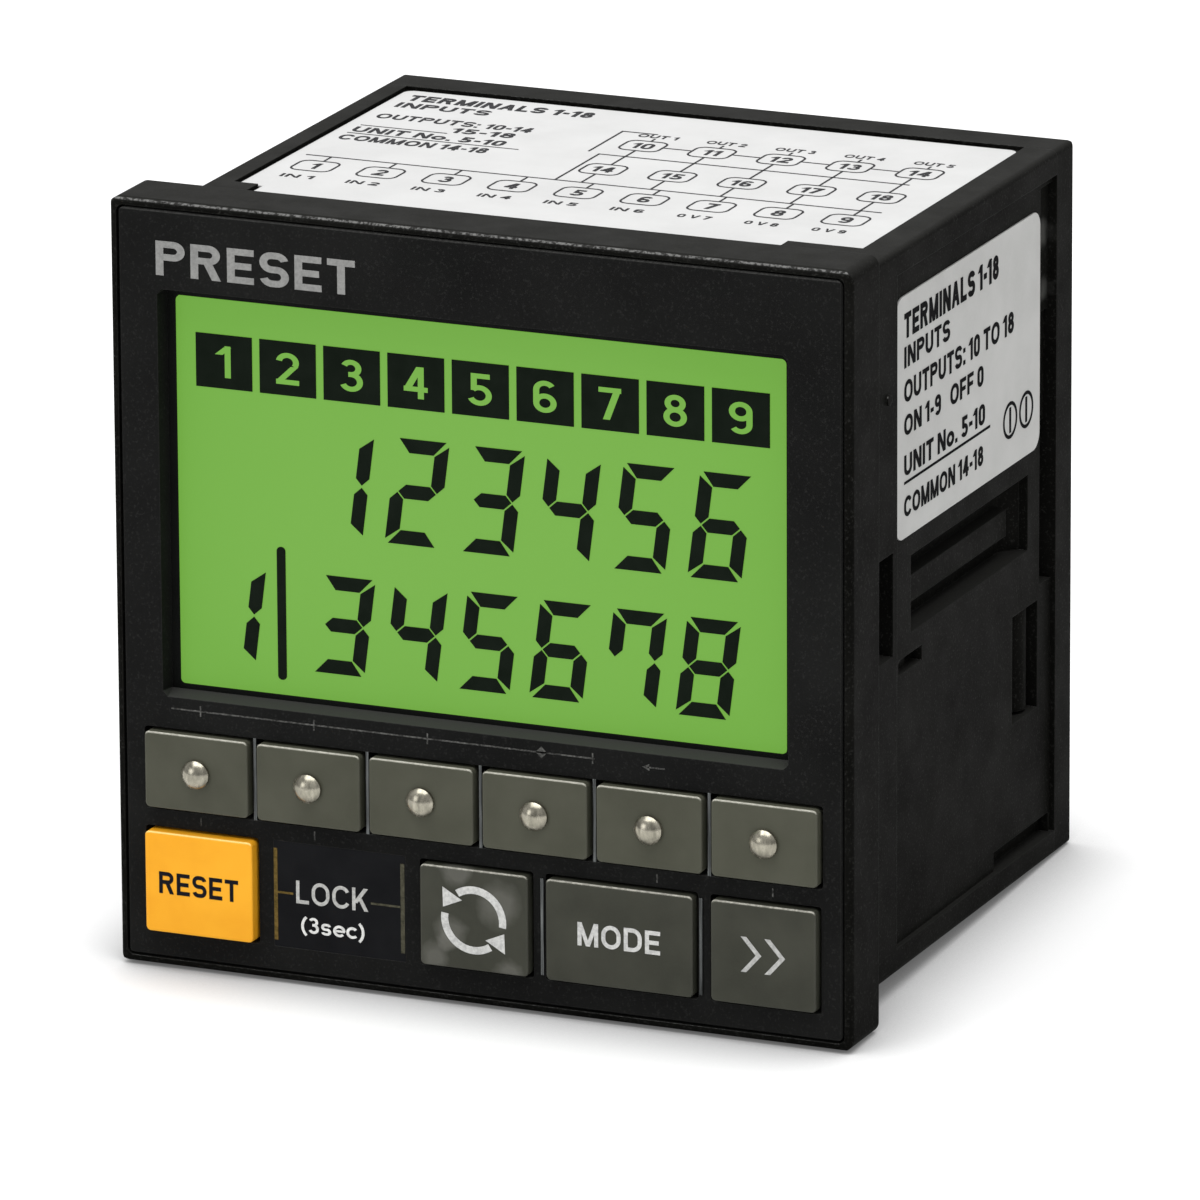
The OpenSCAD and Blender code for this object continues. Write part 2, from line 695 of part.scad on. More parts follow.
// Key cap with lips above and below, and the peg that reaches its switch
module key_cap(w, h, proud) {
    cap_y = face_y - proud;
    difference() {
        union() {
            translate([0, cap_y, 0]) bevelled_block(w, h, key_back_y - cap_y, key_bevel);
            block([-w / 2, w / 2], [key_back_y - lip_t, key_back_y], [-h / 2 - lip_w, h / 2 + lip_w]);
        }
        block([cap_wall - w / 2, w / 2 - cap_wall], [cap_y + cap_wall, key_back_y + 1],
            [cap_wall - h / 2, h / 2 - cap_wall]);
    }
    rod_y(peg_r, cap_y + cap_wall - eps, peg_end_y);
}

module upper_key(i) {
    color(key_grey) translate([key_x(i), 0, key_z]) difference() {
        key_cap(key_w, key_h, key_proud);
        rod_y(shank_r + 0.05, face_y - key_proud - 1, face_y - key_proud + cap_wall);
    }
}

// Domed nub, seated on its key by a short shank
module nub(i) {
    y = face_y - key_proud;
    dome_start = 0.3;
    rise = nub_h - dome_start;
    ball_r = (nub_r * nub_r + rise * rise) / (2 * rise);
    color([0.72, 0.7, 0.64]) translate([key_x(i), 0, key_z]) {
        rod_y(nub_r, y - dome_start, y);
        rod_y(shank_r, y - eps, y + cap_wall - 0.1);
        translate([0, y - nub_h + ball_r, 0]) intersection() {
            sphere(ball_r);
            rod_y(nub_r, -ball_r - 1, rise - ball_r + eps);
        }
    }
}

module low_key(k, shade) {
    color(shade) translate([k[0], 0, low_key_z]) key_cap(k[1], low_key_h, k[2]);
}

module case_blank() {
    along_y(-seat_depth, rim_y) rounded_rect(case_w, case_w, case_r);
}

// Sunk panels on the four sides of the case, behind the collar
module panel_cuts() {
    far = case_half + 1;
    reach = case_half - panel_border;
    for (s = [-1, 1]) mirror([s < 0 ? 1 : 0, 0, 0])
        block([panel_x, far], [side_collar_l, rim_y + 1], [-reach, reach + 0.1]);
    block([label_x0, label_x1], [collar_l + 0.2, rim_y + 1], [case_half - top_step, far]);
    block([-reach, reach], [collar_l, rim_y + 1], [-far, -case_half + panel_step]);
}

// Wall behind the adapter recess, which follows the slope at its rear end
module rail_backing() {
    y0 = rail_y - rail_wall;
    y1 = rail_y + rail_l + 0.6;
    along_z(rail_z0 - rail_wall, rail_z1 + rail_wall) polygon([[rail_floor_x - rail_wall, y0],
        [inner_half + eps, y0], [inner_half + eps, y1], [rail_floor_x - rail_wall, y1 - rail_end_l + 0.2]]);
}

// Recess for the mounting adapter, with a bevelled upper edge and a ridge inside
module rail_cut() {
    y1 = rail_y + rail_l;
    floor_y1 = y1 - rail_end_l;
    ridge_z1 = rail_z1 - 2.3;
    ridge_z0 = ridge_z1 - ridge_h;
    ridge_x = rail_floor_x + 1.3;
    difference() {
        along_y(rail_y, y1) polygon([[rail_floor_x, rail_z0], [panel_x + eps, rail_z0],
            [panel_x + eps, rail_z1 + 0.5], [panel_x - 0.5, rail_z1], [rail_floor_x, rail_z1]]);
        along_y(rail_y - 1, floor_y1) polygon([[rail_floor_x - 1, ridge_z0 - 0.9], [ridge_x, ridge_z0],
            [ridge_x, ridge_z1], [rail_floor_x - 1, ridge_z1 + 0.3]]);
        along_z(rail_z0 - 1, rail_z1 + 1) polygon([[rail_floor_x - 1, floor_y1], [panel_x - 0.9, y1],
            [panel_x + 1, y1 + 1], [rail_floor_x - 1, y1 + 1]]);
    }
}

module side_cuts() {
    far = case_half + 1;
    notch_z = rail_z0 - 2.6;
    rail_cut();
    block([inner_half - 1, far], [-1, latch_l], [latch_z - latch_h / 2, latch_z + latch_h / 2]);
    block([panel_x - 0.8, far], [rail_y - 3, rail_y + 0.6], [notch_z - 0.7, notch_z + 0.7]);
    block([panel_x - 1.3, far], [rail_y + 0.4, rail_y + 2.7], [notch_z - 0.7, notch_z + 0.7]);
    block([inner_half - 1, far], [snap_y0, snap_y1], [-snap_drop - snap_h / 2, -snap_drop + snap_h / 2]);
    channel_cuts();
    block([panel_x - 1.1, far], [rim_y - groove_l - 0.3, rim_y - 0.3],
        [-case_half + groove_z, -case_half + groove_z + groove_w]);
}

// Channel in front of the rear rim, which deepens in three steps and ends in an open slot
module channel_cuts() {
    far = case_half + 1;
    y = [rim_y - channel_w, rim_y + 1];
    top = case_half - 3;
    block([panel_x - 0.4, far], y, [top - channel_l1, top]);
    block([panel_x - 0.8, far], y, [top - channel_l2, top - channel_l1 + eps]);
    block([inner_half - 1, far], y, [1.3 - snap_drop + snap_h / 2, top - channel_l2 + eps]);
}

// Ribs on the inner top and bottom walls that hold the two side boards
module board_ribs() {
    for (s = [-1, 1], side = [-1, 1], z = [-1, 1]) {
        x = s * (board_x + board_t / 2) + side * (board_t / 2 + 0.2 + 0.5);
        translate([x - 0.5, rib_y, z > 0 ? inner_half - guide_rib : -inner_half - eps])
            cube([1, rear_board_y - 2 - rib_y, guide_rib + eps]);
    }
}

module body_case() {
    color(black) difference() {
        union() {
            difference() {
                case_blank();
                along_y(-1, rim_y + 1) square(2 * inner_half, center = true);
            }
            board_ribs();
            for (s = [-1, 1]) mirror([s < 0 ? 1 : 0, 0, 0]) rail_backing();
        }
        panel_cuts();
        for (s = [-1, 1]) mirror([s < 0 ? 1 : 0, 0, 0]) side_cuts();
    }
    color(black) for (s = [-1, 1]) mirror([s < 0 ? 1 : 0, 0, 0]) {
        translate([case_half - 0.2, side_collar_l - bump_y, case_half - bump_z])
            rotate([0, 90, 0]) cylinder(r = 0.5, h = 0.4);
    }
    color(black) label_stops();
}

// Pads behind the collar that the top label is cut round
module label_stops() {
    z = [case_half - top_step - eps, case_half];
    block([label_x0 - eps, label_x0 + stop_w], [collar_l, collar_l + stop_l], z);
    block([label_x1 - wide_stop_w, label_x1 + eps], [collar_l, collar_l + wide_stop_l], z);
}

// Arm of the rear cover that snaps into the window in the case
module snap_arm() {
    h = snap_h / 2 - snap_gap;
    arm_x = skirt_half - 1.2;
    hook_r = 1.7;
    z = [-snap_drop - h, -snap_drop + h];
    hook_y = snap_y1 - snap_gap - hook_r;
    block([arm_x, skirt_half], [snap_y0 + snap_gap, skirt_y + 0.5], z);
    block([arm_x, skirt_half + 1], [snap_y0 + 0.7, snap_y0 + 1.5], z);
    intersection() {
        translate([skirt_half - 0.3, hook_y, z[0]]) cylinder(r = hook_r, h = z[1] - z[0]);
        block([arm_x, skirt_half + 2], [hook_y - hook_r - 1, hook_y + hook_r + 1], z);
    }
}

module rear_cover() {
    color(black) difference() {
        union() {
            intersection() {
                along_y(rim_y, body_depth) rounded_rect(case_w, case_w, case_r);
                mirror([0, 1, 0]) translate([0, -body_depth, 0]) bevelled_block(case_w, case_w, rim_l, 0.4);
            }
            along_y(skirt_y, rim_y + eps) rounded_rect(2 * skirt_half, 2 * skirt_half, case_r);
            for (s = [-1, 1]) mirror([s < 0 ? 1 : 0, 0, 0]) snap_arm();
        }
        block([-trough_half, trough_half], [skirt_y - 1, body_depth - 2],
            [1.2 - trough_z0, trough_z0 - 1.2]);
        for (s = [-1, 1]) mirror([0, 0, s < 0 ? 1 : 0])
            block([-trough_half, trough_half], [skirt_y - 1, body_depth + 1], [trough_z0, trough_z1]);
    }
}

// Terminal block with barriers, drawn as the upper one
module terminal_block() {
    color([0.1, 0.1, 0.1]) difference() {
        union() {
            block([-block_half, block_half], [block_y, block_top_y], [block_z0, block_z1]);
            for (i = [0:terminal_n]) translate([(i - terminal_n / 2) * terminal_pitch, 0, 0])
                block([-barrier_t / 2, barrier_t / 2], [block_top_y - eps, barrier_y], [block_z0, block_z1]);
        }
        for (i = [0:terminal_n - 1]) translate([terminal_x(i), 0, 0]) {
            translate([0, 0, terminal_z]) rod_y(screw_r + hole_clear, block_y + 0.8, block_top_y + 1);
            translate([0, 0, pin_z]) rod_y(pin_r + hole_clear, block_y - 1, block_top_y + 1);
        }
    }
}

module upper_terminal_block() {
    terminal_block();
}

module lower_terminal_block() {
    mirror([0, 0, 1]) terminal_block();
}

// Repeats a piece at each terminal of both rows
module each_terminal() {
    for (s = [0, 1], i = [0:terminal_n - 1]) mirror([0, 0, s]) translate([terminal_x(i), 0, 0]) children();
}

module terminal_contacts() {
    color(metal) each_terminal() difference() {
        union() {
            block([-terminal_w / 2, terminal_w / 2], [block_top_y, contact_y],
                [pin_z - 1, terminal_z + 3.2]);
            translate([0, 0, pin_z]) rod_y(pin_r, rear_board_y - 0.8, block_top_y + eps);
        }
        translate([0, 0, terminal_z]) rod_y(screw_r + hole_clear, block_top_y - 1, contact_y + 1);
    }
}

module terminal_clamps() {
    color(metal) each_terminal() translate([0, 0, terminal_z]) difference() {
        block([-terminal_w / 2, terminal_w / 2], [contact_y, clamp_y], [-2.8, 2.8]);
        rod_y(screw_r + hole_clear, contact_y - 1, clamp_y + 1);
    }
}

module terminal_screws() {
    color(metal) each_terminal() translate([0, 0, terminal_z]) difference() {
        union() {
            rod_y(screw_r, block_y + 1.2, clamp_y + eps);
            rod_y(head_r, clamp_y, clamp_y + head_h);
        }
        cross_slot(clamp_y + head_h - 0.9, 0.7, 1.5 * head_r);
    }
}

module terminal_board() {
    color(board_green) difference() {
        along_y(rear_board_y, block_y)
            square([2 * (rail_floor_x - rail_wall - 0.3), 2 * (trough_half - 0.6)], center = true);
        each_terminal() translate([0, 0, pin_z]) rod_y(pin_r + hole_clear, rear_board_y - 1, block_y + 1);
    }
}

// Side board at the right, between the display board and the terminal board
module side_board() {
    color(board_green) block([board_x, board_x + board_t], [display_back_y, rear_board_y],
        [-side_board_half, side_board_half]);
}

module main_board() {
    side_board();
}

module power_board() {
    mirror([1, 0, 0]) side_board();
}

module board_headers() {
    color([0.15, 0.15, 0.15]) for (s = [-1, 1], side = [-1, 1]) mirror([s < 0 ? 1 : 0, 0, 0])
        translate([board_x - header_t, display_back_y, side * (header_l / 2 + header_gap) - header_l / 2])
            cube([header_t, header_w, header_l]);
}

// Flat chip with legs on its four edges
module processor() {
    leg = 1;
    step = chip_w / 7.5;
    color([0.14, 0.14, 0.14]) translate([board_x, middle_y, -chip_w]) {
        block([-chip_t, -0.2], [-chip_w / 2, chip_w / 2], [-chip_w / 2, chip_w / 2]);
        for (turn = [0:90:270], i = [-3:3]) rotate([turn, 0, 0])
            block([-chip_t / 2, 0], [chip_w / 2 - eps, chip_w / 2 + leg], [i * step - 0.3, i * step + 0.3]);
    }
}

module output_relays() {
    pitch = relay_w + relay_gap;
    color([0.2, 0.3, 0.5]) for (i = [0, 1])
        translate([board_x - relay_h, middle_y + relay_gap, relay_gap + relay_w / 2 + i * pitch])
            rotate([0, 0, -90]) bevelled_block(relay_l, relay_w, relay_h, 0.6);
}

// Core with three limbs, drawn from the face that looks at its board
module transformer_core() {
    color([0.25, 0.25, 0.26]) translate([core_foot - board_x, core_y, 0]) difference() {
        block([0, core_h], [-core_l / 2, core_l / 2], [-core_w / 2, core_w / 2]);
        for (s = [0, 1]) mirror([0, s, 0])
            block([-1, core_h + 1], [limb_t, core_l / 2 - limb_t],
                [limb_t - core_w / 2, core_w / 2 - limb_t]);
    }
}

// Winding on the core's middle limb, with its foot on the power board
module transformer_coil() {
    coil_y = core_l / 2 - limb_t - 0.2;
    coil_z = core_w / 2 - limb_t - 0.3;
    color([0.65, 0.35, 0.15]) translate([core_foot - board_x, core_y, 0]) difference() {
        block([-core_foot, core_h + 1.4], [-coil_y, coil_y], [-coil_z, coil_z]);
        block([0, core_h], [-limb_t, limb_t], [-coil_z - 1, coil_z + 1]);
    }
}

module capacitors() {
    z = (core_w / 2 + side_board_half) / 2;
    y = middle_y - 2 * cap_r;
    color([0.15, 0.2, 0.35]) for (p = [[y, z], [y, -z], [y + 2 * cap_r + 3, z]])
        translate([-board_x, p[0], p[1]]) rotate([0, 90, 0]) cylinder(r = cap_r, h = cap_h);
}

module top_label() {
    gap = 0.3;
    x0 = label_x0 + gap;
    x1 = label_x1 - gap;
    y0 = collar_l + 0.2 + gap;
    y1 = rim_y - 0.6;
    z0 = case_half - top_step;
    color("white") difference() {
        translate([(x0 + x1) / 2, (y0 + y1) / 2, z0]) linear_extrude(label_t)
            rounded_rect(x1 - x0, y1 - y0, 1);
        block([x0 - 1, label_x0 + stop_w + gap], [y0 - 1, collar_l + stop_l + gap], [z0 - 1, z0 + 1]);
        block([label_x1 - wide_stop_w - gap, x1 + 1], [y0 - 1, collar_l + wide_stop_l + gap],
            [z0 - 1, z0 + 1]);
    }
}

module side_label() {
    y0 = side_collar_l + 0.5;
    y1 = rim_y - channel_w - 0.4;
    z1 = case_half - panel_border - label_drop;
    z0 = rail_z1 + label_gap;
    color([0.74, 0.74, 0.72]) along_x(panel_x, panel_x + label_t)
        translate([(y0 + y1) / 2, (z0 + z1) / 2]) rounded_rect(y1 - y0, z1 - z0, 1.6);
}

front_bezel();
face_plate();
key_dividers();
lock_plate();
lcd_mask();
lcd_glass();
lcd_segments();
lcd_number_tiles();
light_guide();
backlight_leds();
contact_strip();
display_board();
board_screws();
switch_frames();
switch_domes();
upper_key(0);  // key_1
upper_key(1);  // key_2
upper_key(2);  // key_3
upper_key(3);  // key_4
upper_key(4);  // key_5
upper_key(5);  // key_6
nub(0);  // nub_1
nub(1);  // nub_2
nub(2);  // nub_3
nub(3);  // nub_4
nub(4);  // nub_5
nub(5);  // nub_6
low_key(low_keys[0], [0.98, 0.7, 0.16]);  // reset_key
low_key(low_keys[1], key_grey);  // cycle_key
low_key(low_keys[2], key_grey);  // mode_key
low_key(low_keys[3], key_grey);  // shift_key
body_case();
rear_cover();
upper_terminal_block();
lower_terminal_block();
terminal_contacts();
terminal_clamps();
terminal_screws();
terminal_board();
main_board();
power_board();
board_headers();
processor();
output_relays();
transformer_core();
transformer_coil();
capacitors();
top_label();
side_label();
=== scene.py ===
import json
import math

import bmesh
import bpy
from mathutils import Matrix, Vector


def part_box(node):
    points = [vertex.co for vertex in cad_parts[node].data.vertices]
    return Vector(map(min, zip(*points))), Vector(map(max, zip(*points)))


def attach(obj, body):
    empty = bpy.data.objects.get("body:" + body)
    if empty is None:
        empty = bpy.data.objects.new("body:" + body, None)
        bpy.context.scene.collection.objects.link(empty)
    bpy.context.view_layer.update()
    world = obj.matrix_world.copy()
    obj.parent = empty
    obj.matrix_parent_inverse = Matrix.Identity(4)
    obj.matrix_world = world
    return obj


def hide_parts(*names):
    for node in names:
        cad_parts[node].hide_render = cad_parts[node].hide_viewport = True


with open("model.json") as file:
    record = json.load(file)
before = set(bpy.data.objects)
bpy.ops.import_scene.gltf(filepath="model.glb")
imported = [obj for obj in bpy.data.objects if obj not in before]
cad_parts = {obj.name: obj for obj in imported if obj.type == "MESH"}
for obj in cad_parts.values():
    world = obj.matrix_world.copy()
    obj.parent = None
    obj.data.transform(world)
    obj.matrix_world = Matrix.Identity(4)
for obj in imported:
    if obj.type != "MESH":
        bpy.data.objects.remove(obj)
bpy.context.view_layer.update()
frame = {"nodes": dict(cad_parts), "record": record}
mm = 0.001
print("frame loaded:", len(frame["nodes"]), "nodes")


# Material helpers

def feed(tree, socket, value):  # a socket given as a value is linked, and anything else is set
    if isinstance(value, bpy.types.NodeSocket):
        tree.links.new(value, socket)
    else:
        socket.default_value = value


def addNode(tree, kind, inputs=None, **options):
    node = tree.nodes.new("ShaderNode" + kind)
    for key, value in options.items():
        setattr(node, key, value)
    for key, value in (inputs or {}).items():
        feed(tree, node.inputs[key], value)
    return node


def startMaterial(name, **sockets):
    material = bpy.data.materials.new(name)
    material.use_nodes = True
    tree = material.node_tree
    shader = tree.nodes["Principled BSDF"]
    place = addNode(tree, "TexCoord").outputs["Object"]
    for key, value in sockets.items():
        shader.inputs[key.replace("_", " ")].default_value = value
    return material, tree, shader, place


def noise(tree, place, size, detail=2.0, roughness=0.5):  # size is that of one patch, in mm
    inputs = {"Vector": place, "Scale": 1 / (size * mm), "Detail": detail, "Roughness": roughness}
    return addNode(tree, "TexNoise", inputs).outputs["Fac"]


def ramp(tree, factor, stops):
    stops = list(stops)
    node = addNode(tree, "ValToRGB", {"Fac": factor})
    elements = node.color_ramp.elements
    while len(elements) < len(stops):
        elements.new(0.5)
    for element, (position, colour) in zip(elements, stops):
        element.position = position
        element.color = (*colour, 1)
    return node.outputs["Color"]


def spread(tree, value, low, high, fromLow=0.3, fromHigh=0.7):
    inputs = {"Value": value, "From Min": fromLow, "From Max": fromHigh, "To Min": low, "To Max": high}
    return addNode(tree, "MapRange", inputs).outputs["Result"]


def mathNode(tree, operation, first, second=0.0):
    return addNode(tree, "Math", {0: first, 1: second}, operation=operation).outputs[0]


def vectorNode(tree, operation, first, second):
    return addNode(tree, "VectorMath", {0: first, 1: second}, operation=operation).outputs["Value"]


def splitAxes(tree, vector):
    return addNode(tree, "SeparateXYZ", {"Vector": vector}).outputs


def faceNormal(tree):
    return addNode(tree, "NewGeometry").outputs["Normal"]


def blendColour(tree, factor, first, second):
    node = addNode(tree, "Mix", {"Factor": factor}, data_type="RGBA")
    for index, value in ((6, first), (7, second)):
        feed(tree, node.inputs[index], value if isinstance(value, bpy.types.NodeSocket) else (*value, 1))
    return node.outputs[2]


def softEdge(tree, radius):
    return addNode(tree, "Bevel", {"Radius": radius * mm}, samples=4).outputs["Normal"]


def addBump(tree, shader, height, strength, depth=0.01, rounded=None):  # depth in mm
    inputs = {"Strength": strength, "Distance": depth * mm, "Height": height}
    if rounded is not None:
        inputs["Normal"] = rounded
    tree.links.new(addNode(tree, "Bump", inputs).outputs["Normal"], shader.inputs["Normal"])


def boxOf(node):  # lowest and highest corner in mm
    low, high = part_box(node)
    return low / mm, high / mm


def centreOf(node):
    low, high = boxOf(node)
    return (low + high) / 2


# Moulded plastic: close colours in broad patches, fine grain, edges paler from wear and a painted highlight.
# Sizes are in mm

wearAndLightLook = {"bands": (0.32, 0.68), "speckle": 0.3, "sheenSize": 0.35, "edge": 0.12, "edgeTurn": (0.9, 0.998),
            "rub": 0.6, "gritSize": 0.26, "gritMost": 0.5, "gritCover": (0.56, 0.7), "ragged": 0.45,
            "raggedSize": 2.0, "markCover": 0.55, "markFade": (0.4, 1.05), "dustAndTopLightFrom": (0.3, 0.95),
            "breakSize": 0.3, "breakCover": (0.42, 0.6)}


def rubEdges(tree, place, colour, look):
    # Edges are painted paler: partly wear, partly a painted highlight where light catches them
    line = softEdge(tree, look.get("line", wearAndLightLook["edge"]))
    turned = vectorNode(tree, "DOT_PRODUCT", line, faceNormal(tree))  # 1 on flats, less near an edge
    worn = spread(tree, turned, 1.0, 0.0, *wearAndLightLook["edgeTurn"])
    worn = mathNode(tree, "MULTIPLY", worn, look.get("rub", wearAndLightLook["rub"]))
    colour = blendColour(tree, worn, colour, look["rubbedAndLit"])
    if "crestHighlight" not in look:
        return colour
    turn = splitAxes(tree, line)  # painted highlight: a broken pale line along an edge between a front and a top face, where light catches it
    ridge = spread(tree, mathNode(tree, "MULTIPLY", turn["Z"], turn["Y"]), 1.0, 0.0, *look["ridge"])
    breaks = noise(tree, place, wearAndLightLook["breakSize"], 2.0)
    broken = spread(tree, breaks, look["broken"], 1.0, *wearAndLightLook["breakCover"])
    return blendColour(tree, mathNode(tree, "MULTIPLY", ridge, broken), colour, look["crestHighlight"])


def mouldedPlastic(name, look):
    material, tree, shader, place = startMaterial(name, **look.get("shader", {}))
    patches = noise(tree, place, look["patch"], 4.0)
    grain = noise(tree, place, look["grain"], 3.0, 0.6)
    colour = ramp(tree, patches, zip(wearAndLightLook["bands"], (look["dark"], look["light"])))
    speckle = spread(tree, grain, 0.0, look.get("speckle", wearAndLightLook["speckle"]))
    colour = blendColour(tree, speckle, colour, look["light"])
    rounded = softEdge(tree, wearAndLightLook["edge"])
    if "grit" in look:  # pale specks of the moulded texture
        specks = noise(tree, place, wearAndLightLook["gritSize"], 2.0, 0.7)
        specks = spread(tree, specks, 0.0, wearAndLightLook["gritMost"], *wearAndLightLook["gritCover"])
        colour = blendColour(tree, specks, colour, look["grit"])
    for x, y, z, reach in look.get("marks", ()):  # paler patches, in mm: worn spots, their paleness partly a painted sheen
        apart = vectorNode(tree, "DISTANCE", place, (x * mm, y * mm, z * mm))
        uneven = wearAndLightLook["ragged"] * mm
        uneven = spread(tree, noise(tree, place, wearAndLightLook["raggedSize"], 3.0), -uneven, uneven)
        near, far = (reach * share * mm for share in wearAndLightLook["markFade"])
        cover = spread(tree, mathNode(tree, "ADD", apart, uneven), wearAndLightLook["markCover"], 0.0, near, far)
        colour = blendColour(tree, cover, colour, look["mark"])
    if "dustAndTopLight" in look:  # paler on faces that look up: partly dust, partly painted light from above
        lying = splitAxes(tree, faceNormal(tree))["Z"]
        lying = spread(tree, lying, 0.0, look["dustAndTopLightShare"], *wearAndLightLook["dustAndTopLightFrom"])
        colour = blendColour(tree, lying, colour, look["dustAndTopLight"])
    if "rubbedAndLit" in look:
        colour = rubEdges(tree, place, colour, look)
    tree.links.new(colour, shader.inputs["Base Color"])
    sheen = noise(tree, place, look["patch"] * wearAndLightLook["sheenSize"], 5.0)
    tree.links.new(spread(tree, sheen, *look["rough"]), shader.inputs["Roughness"])
    addBump(tree, shader, grain, look["bump"], look["depth"], rounded)
    return material


